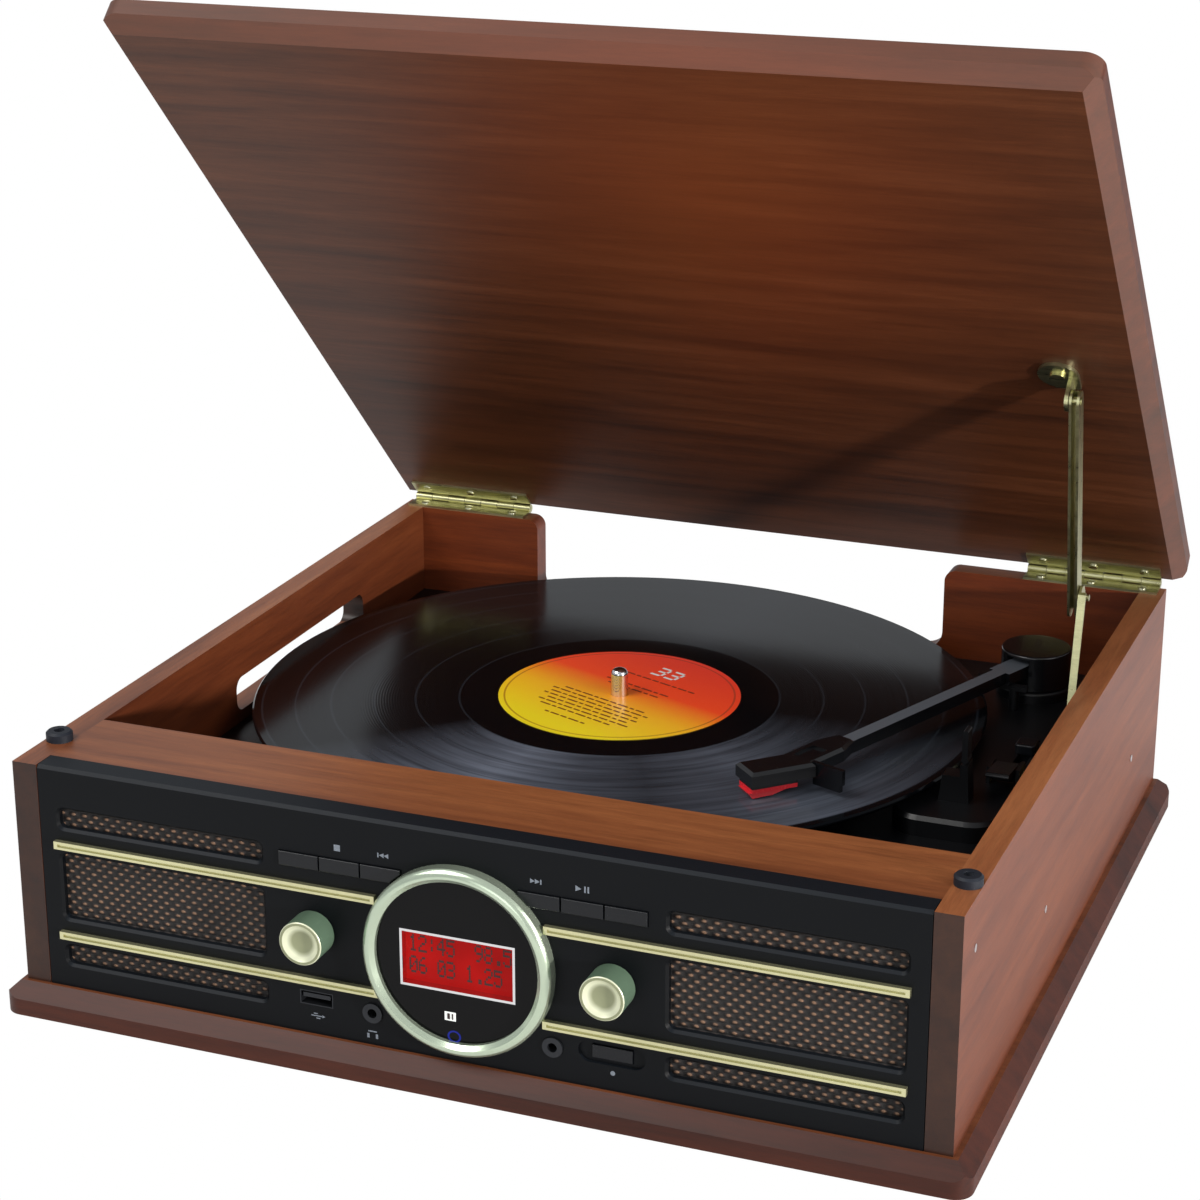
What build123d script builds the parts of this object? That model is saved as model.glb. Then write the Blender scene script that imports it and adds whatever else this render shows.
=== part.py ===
from build123d import *
from math import cos, radians, sin, sqrt
import os

os.makedirs("parts", exist_ok=True)

# All sizes are in millimetres. X runs to the right, Y to the back, Z up.
# The origin is on the floor, under the middle of the cabinet's outline.

# Cabinet
CABINET_WIDTH = 356.0
CABINET_DEPTH = 345.0
BODY_HEIGHT = 88.0
PANEL = 10.0
FOOT_HEIGHT = 8.0
FOOT_RADIUS = 11.0
FOOT_INSET = 48.0
BOARD = 12.0
BOARD_CHAMFER = 5.5
BOARD_CORNER_RADIUS = 7.0
BOARD_SIDE_OVERHANG = 7.5
BOARD_FRONT_OVERHANG = 7.0
BOARD_BACK_OVERHANG = 5.5

BASE_TOP = FOOT_HEIGHT + BOARD
TOP = BASE_TOP + BODY_HEIGHT
OUTER_X = CABINET_WIDTH / 2
INNER_X = OUTER_X - PANEL
FRONT_Y = -CABINET_DEPTH / 2
BACK_Y = CABINET_DEPTH / 2
BACK_INNER_Y = BACK_Y - PANEL
BOARD_WIDTH = CABINET_WIDTH + 2 * BOARD_SIDE_OVERHANG
BOARD_DEPTH = CABINET_DEPTH + BOARD_FRONT_OVERHANG + BOARD_BACK_OVERHANG
BOARD_CENTRE_Y = (BOARD_BACK_OVERHANG - BOARD_FRONT_OVERHANG) / 2
BODY_MIDDLE_Z = BASE_TOP + BODY_HEIGHT / 2

# Openings that let a full-size record stand over the cabinet's edge
SIDE_SLOT_FRONT_Y = -22.0
SIDE_SLOT_BACK_Y = 97.0
SIDE_SLOT_LOW_Z = 72.8
SIDE_SLOT_HIGH_Z = 87.1
SIDE_SLOT_RADIUS = 5.0
SIDE_SLOT_MIDDLE_Y = (SIDE_SLOT_FRONT_Y + SIDE_SLOT_BACK_Y) / 2
SIDE_SLOT_MIDDLE_Z = (SIDE_SLOT_LOW_Z + SIDE_SLOT_HIGH_Z) / 2
BACK_GAP_LEFT_X = -110.0
BACK_GAP_RIGHT_X = 83.0
BACK_GAP_LOW_Z = 70.5
BACK_GAP_TOP_RADIUS = 5.0
BACK_GAP_LOW_RADIUS = 9.0

# Front rail and baffle
FASCIA_DEPTH = 10.0
RAIL_DEPTH = 47.5
RAIL_BACK_Y = FRONT_Y + RAIL_DEPTH
BAFFLE = 6.0

# Fascia
FASCIA_WALL = 3.0
FASCIA_GAP = 0.3
FASCIA_BEVEL = 1.2
WINDOW_LEFT_X = 77.0
WINDOW_SIDE_MARGIN = 18.0
WINDOW_RIGHT_X = OUTER_X - WINDOW_SIDE_MARGIN
WINDOW_LOW_Z = 47.8
WINDOW_TOP_DROP = 34.2
WINDOW_HEIGHT = TOP - WINDOW_TOP_DROP - WINDOW_LOW_Z
WINDOW_RADIUS = 2.2
VENT_HEIGHT = 7.5
UPPER_VENT_DROP = 20.0
UPPER_VENT_Z = TOP - UPPER_VENT_DROP
LOWER_VENT_Z = 33.0
OPENING_BEVEL = 1.0
TRIM_HEIGHT = 3.0
TRIM_DEPTH = 2.0
TRIM_GROOVE = 1.2
TRIM_GROOVE_DEPTH = 0.8
TRIM_SIDE_MARGIN = 16.5
TRIM_END_X = OUTER_X - TRIM_SIDE_MARGIN
UPPER_TRIM_DROP = 30.0
UPPER_TRIM_Z = TOP - UPPER_TRIM_DROP
LOWER_TRIM_Z = 41.6

# Dial
DIAL_Z = 60.3
DIAL_RADIUS = 35.8
DIAL_INNER_RADIUS = 31.0
DIAL_SPIGOT_RADIUS = 32.6
DIAL_DEPTH = 6.0
DIAL_FACE_DEPTH = 3.0
SCREEN_WIDTH = 42.0
SCREEN_HEIGHT = 20.0
SCREEN_Z = 59.0
SCREEN_FRAME = 0.9
SCREEN_RECESS = 3.2
SCREEN_THICKNESS = 2.0
FIT = 0.1

# Controls on the fascia
BUTTON_PITCH = 16.0
BUTTON_WIDTH = 15.5
BUTTON_HEIGHT = 5.4
BUTTON_DROP = 20.1
BUTTON_Z = TOP - BUTTON_DROP
BUTTON_FIRST_X = 29.9
BUTTON_PROUD = 0.9
BUTTON_DEPTH = 7.4
BUTTON_GAP = 0.2
KNOB_X = 57.0
KNOB_Z = 60.8
KNOB_RADIUS = 8.3
KNOB_LENGTH = 11.0
KNOB_WALL = 1.3
KNOB_DISH = 2.4
KNOB_OFF_FACE = 0.4
SHAFT_RADIUS = 3.0
RUNNING_FIT = 0.05
USB_X = -56.9
USB_Z = 34.2
USB_WIDTH = 13.2
USB_HEIGHT = 5.7
USB_WALL = 0.4
USB_BACK = 1.0
USB_TONGUE = 1.6
JACK_X = 34.6
JACK_Z = 32.8
JACK_RADIUS = 3.8
JACK_BARREL_RADIUS = 3.0
JACK_BORE_RADIUS = 1.8
JACK_DEPTH = 12.0
JACK_RING = 0.7
RECORD_KEY_X = 56.6
RECORD_KEY_Z = 34.0
RECORD_KEY_WIDTH = 15.0
RECORD_KEY_HEIGHT = 5.0
SCOOP_WIDTH = 25.0
SCOOP_HEIGHT = 8.5
SCOOP_DEPTH = 1.2
CIRCUIT_BOARD = 1.6
FRONT_BOARD_SETBACK = 12.5
FRONT_BOARD_Y = FRONT_Y + FRONT_BOARD_SETBACK
FRONT_BOARD_WIDTH = 156.0
FRONT_BOARD_ROOM = 20.0
FRONT_BOARD_DROP = 2.0
FRONT_BOARD_HEIGHT = BODY_HEIGHT - FRONT_BOARD_ROOM
FRONT_BOARD_Z = BODY_MIDDLE_Z - FRONT_BOARD_DROP
BOARD_BOSS_RADIUS = 2.5
BOARD_BOSS_X = 72.5
BOARD_BOSS_INSET = 3.0
BOARD_BOSS_RISE = FRONT_BOARD_HEIGHT / 2 - BOARD_BOSS_INSET
ENCODER_SIZE = 12.0
ENCODER_DEPTH = 5.0
SWITCH_SIZE = 6.0
BUTTON_TRAVEL = 1.0

# Deck
DECK_TOP_Z = 68.0
DECK = 3.0
DECK_POST_RADIUS = 5.0
SIDE_PLAY = 0.3

# Record, platter and drive
SPINDLE_X = -19.6
SPINDLE_Y = 33.0
SPINDLE_RADIUS = 3.55
SPINDLE_TOP_Z = 93.7
SPINDLE_LOW_Z = 46.0
RECORD_RADIUS = 150.5
RECORD_TOP_Z = 82.0
RECORD_THICKNESS = 2.0
RECORD_HOLE_RADIUS = 3.65
RECORD_EDGE = 0.7
LABEL_RADIUS = 50.0
LABEL_THICKNESS = 0.25
MAT_THICKNESS = 1.5
MAT_RADIUS = 95.0
PLATTER_RADIUS = 98.0
PLATTER_WALL = 4.0
PLATTER_PLATE = 3.0
PLATTER_RIM_LOW_Z = 70.7
DRIVE_RING_RADIUS = 62.0
DRIVE_RING_WALL = 5.0
HUB_RADIUS = 12.0
BEARING_FLANGE = 1.0
BEARING_OUTER_RADIUS = 7.5
BELT_WIDTH = 4.4
BELT_THICKNESS = 0.8
BELT_GAP = 0.15
MOTOR_REACH = 74.0
MOTOR_BEARING_ANGLE = 225.0
MOTOR_RADIUS = 15.0
MOTOR_LENGTH = 24.0
MOTOR_SHAFT_RADIUS = 1.0
PULLEY_RADIUS = 3.5

PLATTER_TOP_Z = RECORD_TOP_Z - RECORD_THICKNESS - MAT_THICKNESS
MOTOR_X = SPINDLE_X + MOTOR_REACH * cos(radians(MOTOR_BEARING_ANGLE))
MOTOR_Y = SPINDLE_Y + MOTOR_REACH * sin(radians(MOTOR_BEARING_ANGLE))
BELT_LOW_Z = DECK_TOP_Z + 2.6

# Tonearm
ARM_X = 135.5
ARM_Y = 115.0
ARM_AXIS_Z = 89.5
ARM_HEADING = 21.6
ARM_TUBE_WIDTH = 6.0
ARM_TUBE_HEIGHT = 5.0
ARM_TUBE_END = 128.0
HEAD_BEND = 160.0
HEAD_OFFSET = 23.4
HEAD_LENGTH = 21.0
HEAD_WIDTH = 14.0
HEAD_LOW_Z = 88.0
HEAD_HIGH_Z = 93.5
TURRET_RADIUS = 14.5
TURRET_LOW_Z = 80.8
TURRET_HIGH_Z = 96.0
TURRET_CAP = 1.6
ARM_BLOCK_LENGTH = 30.0
ARM_BLOCK_REAR = 3.5
ARM_BLOCK_WIDTH = 10.0
PLINTH_LEFT_X = 112.0
PLINTH_RIGHT_X = 154.0
PLINTH_FRONT_Y = -30.0
PLINTH_BACK_Y = 140.0
PLINTH_TOP_Z = 76.0
ARM_REST_X = 132.0
ARM_REST_Y = -7.7
ARM_REST_DEPTH = 8.0
ARM_SEAT = 0.4
CUE_RADIUS = 24.0
CUE_STEM_HEADING = 8.0
CUE_LEVER_X = 147.0
CUE_LEVER_Y = 14.0
CUE_EARS = 13.0
CUE_PIN_BEHIND = 2.0
CUE_PIN_RISE = 3.5
CUE_PIN_RADIUS = 1.2
SPEED_LEVER_Y = 48.0

# Lid hinge
LID_GAP = 4.0
LID_OPEN_ANGLE = 45.0
HINGE_BEHIND = 0.6
HINGE_Y = BACK_Y + HINGE_BEHIND
HINGE_Z = TOP + LID_GAP / 2
HINGE_LENGTH = 58.0
HINGE_SIDE_MARGIN = 31.5
HINGE_X = OUTER_X - HINGE_SIDE_MARGIN
KNUCKLES = 7
KNUCKLE_RADIUS = 1.9
HINGE_PIN_RADIUS = 0.9
LEAF = 1.0
LEAF_WIDTH = 8.0
LEAF_KNUCKLE_GAP = 0.2
LEAF_CLEARANCE = 0.3
LEAF_SCREW_RADIUS = 1.9
LEAF_SCREW_HEAD = 0.4
LEAF_SCREW_PITCH = 22.0
BUMPER_RADIUS = 5.0
BUMPER_HEIGHT = 3.7
BUMPER_SETBACK = 24.5
BUMPER_Y = FRONT_Y + BUMPER_SETBACK

# Folding stay, measured across the hinge line in the lid's own closed place
STAY_SIDE_MARGIN = 9.5
STAY_X = INNER_X - STAY_SIDE_MARGIN
STAY_LID_REACH = 162.3
STAY_LID_DROP = 6.9
STAY_FOOT_REACH = 117.15
STAY_FOOT_Y = HINGE_Y - STAY_FOOT_REACH
STAY_FOOT_Z = 63.25
UPPER_ARM_LENGTH = 86.87
UPPER_ARM_TAIL = 5.0
UPPER_ARM_ANGLE = -77.74
LOWER_ARM_ANGLE = 77.47
LOWER_ARM_LENGTH = 78.0
STAY_WIDTH = 8.0
STAY_METAL = 1.0
UPPER_ARM_DEPTH = 4.0
LOWER_ARM_DEPTH = 3.0
STAY_PIN_RADIUS = 1.5
STUD_RADIUS = 1.3
SLOT_NEAR = 51.6
SLOT_FAR = 72.9
SLOT_SHIFT = 0.98
SLOT_CLEARANCE = 1.25
STAY_NOTCH_WIDTH = 10.0
STAY_NOTCH_FRONT = 13.0
STAY_NOTCH_BACK = 22.0
STAY_NOTCH_MIDDLE_Y = STAY_FOOT_Y + (STAY_NOTCH_BACK - STAY_NOTCH_FRONT) / 2

# Loudspeakers
SPEAKER_FRAME = 4.0
SPEAKER_CORNER = 6.0
SPEAKER_BASKET_DEPTH = 14.0
SPEAKER_CONE_START = 1.5
SPEAKER_CONE_DEPTH = 11.0
SPEAKER_SURROUND = 3.0
MAGNET_SHARE = 0.7

# Bezel profile and button details
DIAL_SHOULDER = 2.0
DIAL_LIP = 1.6
DIAL_CROWN = 3.2
DIAL_LIP_DROP = 1.4
BUTTON_SKIRT = 0.5
BUTTON_EDGE = 0.4
BUTTON_STEM_RADIUS = 1.6
BUTTON_STEM_EXTRA = 0.6
SWITCH_GAP = 0.3

# Rear sockets and their places
INLET_OFFSET = 16.0
LINE_OUT_OFFSET = 14.0
INLET_SHELL = 3.0
INLET_PIN_OFFSET = 4.3
INLET_PIN_RADIUS = 1.2
LINE_OUT_HOLE_RADIUS = 3.0
LINE_OUT_BARREL_RADIUS = 2.9
LINE_OUT_BARREL = 8.0

# Deck, bearing, platter and motor details
FOOT_TAPER = 4.0
DECK_POST_INSET = 18.0
DECK_POST_PITCH_Y = 250.0
DECK_RING_OUT = 9.0
DECK_RING_IN = 7.0
DECK_RING_RISE = 0.8
MOTOR_HOLE_RADIUS = 6.0
BEARING_FLANGE_WIDTH = 3.5
BEARING_LENGTH = 18.0
HUB_GAP = 0.2
PLATTER_BEVEL = 1.5
BELT_MARGIN = 0.4
PLATTER_SLOTS = 3
PLATTER_SLOT_LENGTH = 26.0
PLATTER_SLOT_WIDTH = 12.0
SPINDLE_DOME = 0.75
MOTOR_PLATE_LENGTH = 48.0
MOTOR_PLATE_TURN = 45.0
MOTOR_PLATE_HOLE = 5.5
PULLEY_FLANGE = 0.8
PULLEY_MARGIN = 0.2

# Tonearm base, rest, clip and levers
PLINTH_CORNER = 12.0
PLINTH_BEVEL = 1.5
TURRET_SEAT_MARGIN = 1.5
TURRET_SEAT_EDGE = 1.2
TURRET_GAP = 0.3
TURRET_POST_RADIUS = 4.0
TURRET_POST_RISE = 3.0
CUE_EARS_DEPTH = 10.0
CUE_EARS_ROOM = 10.0
CUE_EARS_CUT = 12.0
CUE_EARS_HEIGHT = 7.0
SPEED_SLOT_WIDTH = 5.0
SPEED_SLOT_LENGTH = 26.0
SPEED_SLOT_DEPTH = 4.0
CUE_STEM_BORE = 2.05
ARM_REST_LEFT = 4.5
ARM_REST_RIGHT = 7.5
ARM_REST_TOP_RIGHT = 6.5
ARM_REST_CHEEK = 3.6
ARM_REST_LIP = 3.2
ARM_REST_RISE = 2.0
CLIP_SIDE = 5.0
CLIP_RISE = 3.6
CLIP_DEPTH = 6.0
CLIP_PIVOT_RADIUS = 1.4
CLIP_WIDTH = 2.2
CLIP_LENGTH = 12.0
CLIP_CORNER = 0.8
CUE_LEVER_WIDTH = 9.0
CUE_LEVER_EDGE = 0.8
CUE_BAR_WIDTH = 3.5
CUE_STEM_GAP = 1.4
LEVER_GAP = 0.3
SPEED_CAP_WIDTH = 8.0
SPEED_CAP_LENGTH = 9.0
SPEED_CAP_CORNER = 1.5
SPEED_CAP_HEIGHT = 4.0
SPEED_CAP_EDGE = 0.8
SPEED_TONGUE_START = 0.5
SPEED_TONGUE_WIDTH = 4.4
SPEED_TONGUE_LENGTH = 6.0
SPEED_TONGUE_DEPTH = 4.0

# Turret and headshell details
ARM_BLOCK_PLAY = 0.8
ARM_TUBE_PLAY = 0.6
TURRET_MOUTH_SHIFT = 4.0
GIMBAL_BORE = 1.25
GIMBAL_PIN_RADIUS = 1.2
GIMBAL_PIN_INSET = 1.2
HEAD_COLLAR = 0.8
HEAD_COLLAR_LENGTH = 10.0
HEAD_NOSE = 4.0
HEAD_OVERLAP = 6.0
HEAD_EDGE = 1.2
HEAD_POCKET_BACK = 10.0
HEAD_POCKET_LENGTH = 12.0
HEAD_POCKET_WIDTH = 7.0
HEAD_POCKET_DEPTH = 0.8

# Stay plates and screws
KNUCKLE_WEB = 1.2
LEAF_SCREW_SHANK = 0.6
BUMPER_BEVEL = 0.8
BRACKET_DISC_RADIUS = 8.0
BRACKET_TAB_WIDTH = 9.0
BRACKET_METAL = 1.5
BRACKET_SCREW_RADIUS = 3.2
BRACKET_SHIFT = 4.0
STAY_PLAY = 0.4
FOOT_PLATE_RISE = 9.0
FOOT_PLATE_WIDTH = 12.0
FOOT_PLATE_LENGTH = 30.0
FOOT_PLATE_CORNER = 3.0
FOOT_BOSS_RADIUS = 3.0


def write_piece(piece, name):
    """Label a finished piece and write it to its own file."""
    piece.part.label = name
    export_step(piece.part, "parts/" + name + ".step")


def edged_board(plane, centre_y, chamfer_top):
    """Board with a mitred chamfer round one face and rounded upright corners."""
    with BuildPart() as board:
        with BuildSketch(plane):
            with Locations((0, centre_y)):
                Rectangle(BOARD_WIDTH, BOARD_DEPTH)
        extrude(amount=BOARD)
        ends = board.faces().sort_by(Axis(plane.origin, plane.z_dir))
        chamfer((ends[-1] if chamfer_top else ends[0]).edges(), BOARD_CHAMFER)
        with BuildSketch(plane):
            with Locations((0, centre_y)):
                RectangleRounded(BOARD_WIDTH, BOARD_DEPTH, BOARD_CORNER_RADIUS)
        extrude(amount=BOARD, mode=Mode.INTERSECT)
    return board


# Base board and feet
base_board = edged_board(Plane.XY.offset(FOOT_HEIGHT), BOARD_CENTRE_Y, True)
write_piece(base_board, "base_board")

with BuildPart() as rubber_feet:
    with BuildSketch(Plane.XY):
        with GridLocations(CABINET_WIDTH - 2 * FOOT_INSET, CABINET_DEPTH - 2 * FOOT_INSET, 2, 2):
            Circle(FOOT_RADIUS)
    extrude(amount=FOOT_HEIGHT, taper=-FOOT_TAPER)
    with BuildSketch(Plane.XY):
        with GridLocations(CABINET_WIDTH - 2 * FOOT_INSET, CABINET_DEPTH - 2 * FOOT_INSET, 2, 2):
            Circle(FOOT_RADIUS / 3)
    extrude(amount=FOOT_HEIGHT / 2, mode=Mode.SUBTRACT)
write_piece(rubber_feet, "rubber_feet")

# Side panels: the left one has the slot for the record's edge
with BuildPart() as left_side_panel:
    with BuildSketch(Plane.YZ.offset(-OUTER_X)):
        with Locations((0, BODY_MIDDLE_Z)):
            Rectangle(CABINET_DEPTH, BODY_HEIGHT)
        with Locations((SIDE_SLOT_MIDDLE_Y, SIDE_SLOT_MIDDLE_Z)):
            RectangleRounded(
                SIDE_SLOT_BACK_Y - SIDE_SLOT_FRONT_Y,
                SIDE_SLOT_HIGH_Z - SIDE_SLOT_LOW_Z,
                SIDE_SLOT_RADIUS,
                mode=Mode.SUBTRACT,
            )
    extrude(amount=PANEL)
write_piece(left_side_panel, "left_side_panel")

with BuildPart() as right_side_panel:
    with BuildSketch(Plane.YZ.offset(INNER_X)):
        with Locations((0, BODY_MIDDLE_Z)):
            Rectangle(CABINET_DEPTH, BODY_HEIGHT)
    extrude(amount=PANEL)
write_piece(right_side_panel, "right_side_panel")

# Rear sockets: their opening in the back panel is cut from the same sizes
SOCKETS_X = 104.0
SOCKETS_Z = 46.0
SOCKETS_WIDTH = 62.0
SOCKETS_HEIGHT = 24.0
SOCKETS_FLANGE = 4.0
SOCKETS_PLATE = 2.0
INLET_X = SOCKETS_X + INLET_OFFSET
INLET_WIDTH = 20.0
INLET_HEIGHT = 12.0
INLET_DEPTH = 14.0
LINE_OUT_PITCH = 14.0
LINE_OUT_X = SOCKETS_X - LINE_OUT_OFFSET
LINE_OUT_RADIUS = 4.15
LINE_OUT_BORE_RADIUS = 1.7
LINE_OUT_REACH = 8.0

# Back panel with the wide gap behind the platter
with BuildPart() as back_panel:
    with BuildSketch(Plane.XZ.offset(-BACK_Y)):
        with Locations((0, BODY_MIDDLE_Z)):
            Rectangle(2 * INNER_X, BODY_HEIGHT)
        with Locations(((BACK_GAP_LEFT_X + BACK_GAP_RIGHT_X) / 2, (BACK_GAP_LOW_Z + TOP) / 2)):
            Rectangle(BACK_GAP_RIGHT_X - BACK_GAP_LEFT_X, TOP - BACK_GAP_LOW_Z, mode=Mode.SUBTRACT)
        with Locations((SOCKETS_X, SOCKETS_Z)):
            Rectangle(SOCKETS_WIDTH, SOCKETS_HEIGHT, mode=Mode.SUBTRACT)
    extrude(amount=PANEL)
    gap_edges = back_panel.edges().filter_by(Axis.Y).filter_by_position(
        Axis.X, BACK_GAP_LEFT_X - 1, BACK_GAP_RIGHT_X + 1
    )
    fillet(gap_edges.filter_by_position(Axis.Z, TOP - 1, TOP + 1), BACK_GAP_TOP_RADIUS)
    gap_edges = back_panel.edges().filter_by(Axis.Y).filter_by_position(
        Axis.X, BACK_GAP_LEFT_X - 1, BACK_GAP_RIGHT_X + 1
    )
    fillet(
        gap_edges.filter_by_position(Axis.Z, BACK_GAP_LOW_Z - 1, BACK_GAP_LOW_Z + 1), BACK_GAP_LOW_RADIUS
    )
write_piece(back_panel, "back_panel")

# Front rail over the loudspeakers, and the baffle under its rear edge
RAIL_FRONT_Y = FRONT_Y + FASCIA_DEPTH
with BuildPart() as front_rail:
    with BuildSketch(Plane.XY.offset(TOP - PANEL)):
        with Locations((0, (RAIL_FRONT_Y + RAIL_BACK_Y) / 2)):
            Rectangle(2 * INNER_X, RAIL_BACK_Y - RAIL_FRONT_Y)
    extrude(amount=PANEL)
write_piece(front_rail, "front_rail")

with BuildPart() as front_baffle:
    with BuildSketch(Plane.XY.offset(BASE_TOP)):
        with Locations((0, RAIL_BACK_Y - BAFFLE / 2)):
            Rectangle(2 * INNER_X, BAFFLE)
    extrude(amount=BODY_HEIGHT - PANEL)
write_piece(front_baffle, "front_baffle")

# Fascia
FASCIA_WIDTH = 2 * (INNER_X - FASCIA_GAP)
FASCIA_FACE = Plane.XZ.offset(-FRONT_Y)
FASCIA_REAR = Plane.XZ.offset(-FRONT_Y - FASCIA_WALL)
WINDOW_WIDTH = WINDOW_RIGHT_X - WINDOW_LEFT_X
WINDOW_MIDDLE_X = (WINDOW_LEFT_X + WINDOW_RIGHT_X) / 2
WINDOW_MIDDLE_Z = WINDOW_LOW_Z + WINDOW_HEIGHT / 2
BUTTON_XS = [side * (BUTTON_FIRST_X + n * BUTTON_PITCH) for side in (-1, 1) for n in range(3)]
BUTTON_ROW_WIDTH = 2 * BUTTON_PITCH + BUTTON_WIDTH + 2 * BUTTON_GAP
BUTTON_ROW_X = BUTTON_FIRST_X + BUTTON_PITCH

with BuildPart() as fascia:
    with BuildSketch(FASCIA_FACE):
        with Locations((0, BODY_MIDDLE_Z)):
            Rectangle(FASCIA_WIDTH, BODY_HEIGHT)
    extrude(amount=-FASCIA_DEPTH)
    with BuildSketch(FASCIA_REAR):
        with Locations((0, BODY_MIDDLE_Z)):
            Rectangle(FASCIA_WIDTH - 2 * FASCIA_WALL, BODY_HEIGHT - 2 * FASCIA_WALL)
    extrude(amount=-FASCIA_DEPTH, mode=Mode.SUBTRACT)
    front_top = fascia.edges().filter_by(Axis.X).group_by(Axis.Y)[0].sort_by(Axis.Z)[-1]
    chamfer(front_top, FASCIA_BEVEL)
    with BuildSketch(FASCIA_FACE):
        for side in (-1, 1):
            with Locations((side * WINDOW_MIDDLE_X, WINDOW_MIDDLE_Z)):
                RectangleRounded(WINDOW_WIDTH, WINDOW_HEIGHT, WINDOW_RADIUS)
            for vent_z in (UPPER_VENT_Z, LOWER_VENT_Z):
                with Locations((side * WINDOW_MIDDLE_X, vent_z)):
                    RectangleRounded(WINDOW_WIDTH, VENT_HEIGHT, WINDOW_RADIUS)
    extrude(amount=-FASCIA_WALL, mode=Mode.SUBTRACT)
    window_edges = fascia.faces().sort_by(Axis.Y)[0].inner_wires().edges()
    chamfer(window_edges, OPENING_BEVEL)
    with BuildSketch(FASCIA_FACE):
        for side in (-1, 1):
            with Locations((side * BUTTON_ROW_X, BUTTON_Z)):
                Rectangle(BUTTON_ROW_WIDTH, BUTTON_HEIGHT + 2 * BUTTON_GAP)
            with Locations((side * KNOB_X, KNOB_Z)):
                Circle(SHAFT_RADIUS + 1)
            with Locations((side * JACK_X, JACK_Z)):
                Circle(JACK_BARREL_RADIUS + FIT)
        with Locations((0, DIAL_Z)):
            Circle(DIAL_SPIGOT_RADIUS + FIT)
        with Locations((USB_X, USB_Z)):
            Rectangle(USB_WIDTH + 2 * FIT, USB_HEIGHT + 2 * FIT)
    extrude(amount=-FASCIA_WALL, mode=Mode.SUBTRACT)
    with BuildSketch(FASCIA_FACE):
        with Locations((RECORD_KEY_X, RECORD_KEY_Z)):
            SlotOverall(SCOOP_WIDTH, SCOOP_HEIGHT)
    extrude(amount=-SCOOP_DEPTH, mode=Mode.SUBTRACT)
    with BuildSketch(FASCIA_FACE):
        with Locations((RECORD_KEY_X, RECORD_KEY_Z)):
            Rectangle(RECORD_KEY_WIDTH + 2 * BUTTON_GAP, RECORD_KEY_HEIGHT + 2 * BUTTON_GAP)
    extrude(amount=-FASCIA_WALL, mode=Mode.SUBTRACT)
    with BuildSketch(FASCIA_REAR):
        with Locations((0, FRONT_BOARD_Z)):
            with GridLocations(2 * BOARD_BOSS_X, 2 * BOARD_BOSS_RISE, 2, 2):
                Circle(BOARD_BOSS_RADIUS)
    extrude(amount=FRONT_BOARD_Y - FRONT_Y - FASCIA_WALL, dir=(0, 1, 0))
write_piece(fascia, "fascia")

# Loudspeaker cloth boards behind the windows
CLOTH = 1.6
CLOTH_MARGIN = 1.5
CLOTH_HEIGHT = UPPER_VENT_Z - LOWER_VENT_Z + VENT_HEIGHT + 2 * CLOTH_MARGIN
with BuildPart() as grille_cloths:
    with BuildSketch(FASCIA_REAR):
        with Locations((0, (UPPER_VENT_Z + LOWER_VENT_Z) / 2)):
            with GridLocations(2 * WINDOW_MIDDLE_X, 1, 2, 1):
                Rectangle(WINDOW_WIDTH + 2 * CLOTH_MARGIN, CLOTH_HEIGHT)
    extrude(amount=-CLOTH)
write_piece(grille_cloths, "grille_cloths")

# Loudspeakers: basket, magnet and mounting flange, one piece each side
SPEAKER_RADIUS = 28.0
SPEAKER_DEPTH = 26.0
SPEAKER_FRONT_Y = FRONT_Y + FASCIA_WALL + CLOTH
with BuildPart() as loudspeakers:
    for side in (-1, 1):
        speaker_plane = Plane(
            origin=(side * WINDOW_MIDDLE_X, SPEAKER_FRONT_Y, WINDOW_MIDDLE_Z),
            x_dir=(1, 0, 0),
            z_dir=(0, 1, 0),
        )
        with BuildSketch(speaker_plane):
            RectangleRounded(2 * SPEAKER_RADIUS + SPEAKER_FRAME, 2 * SPEAKER_RADIUS + SPEAKER_FRAME, SPEAKER_CORNER)
            Circle(SPEAKER_RADIUS - 2, mode=Mode.SUBTRACT)
        extrude(amount=2)
        with BuildSketch(speaker_plane.offset(2)) as basket_mouth:
            Circle(SPEAKER_RADIUS)
        with BuildSketch(speaker_plane.offset(SPEAKER_BASKET_DEPTH)) as basket_back:
            Circle(SPEAKER_RADIUS / 2)
        loft([basket_mouth.sketch.face(), basket_back.sketch.face()])
        with BuildSketch(speaker_plane.offset(SPEAKER_CONE_START)) as cone_mouth:
            Circle(SPEAKER_RADIUS - SPEAKER_SURROUND)
        with BuildSketch(speaker_plane.offset(SPEAKER_CONE_DEPTH)) as cone_back:
            Circle(SPEAKER_RADIUS / 4)
        loft([cone_mouth.sketch.face(), cone_back.sketch.face()], mode=Mode.SUBTRACT)
        with BuildSketch(speaker_plane.offset(SPEAKER_BASKET_DEPTH)):
            Circle(SPEAKER_RADIUS * MAGNET_SHARE)
        extrude(amount=SPEAKER_DEPTH - SPEAKER_BASKET_DEPTH)
write_piece(loudspeakers, "loudspeakers")

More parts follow.
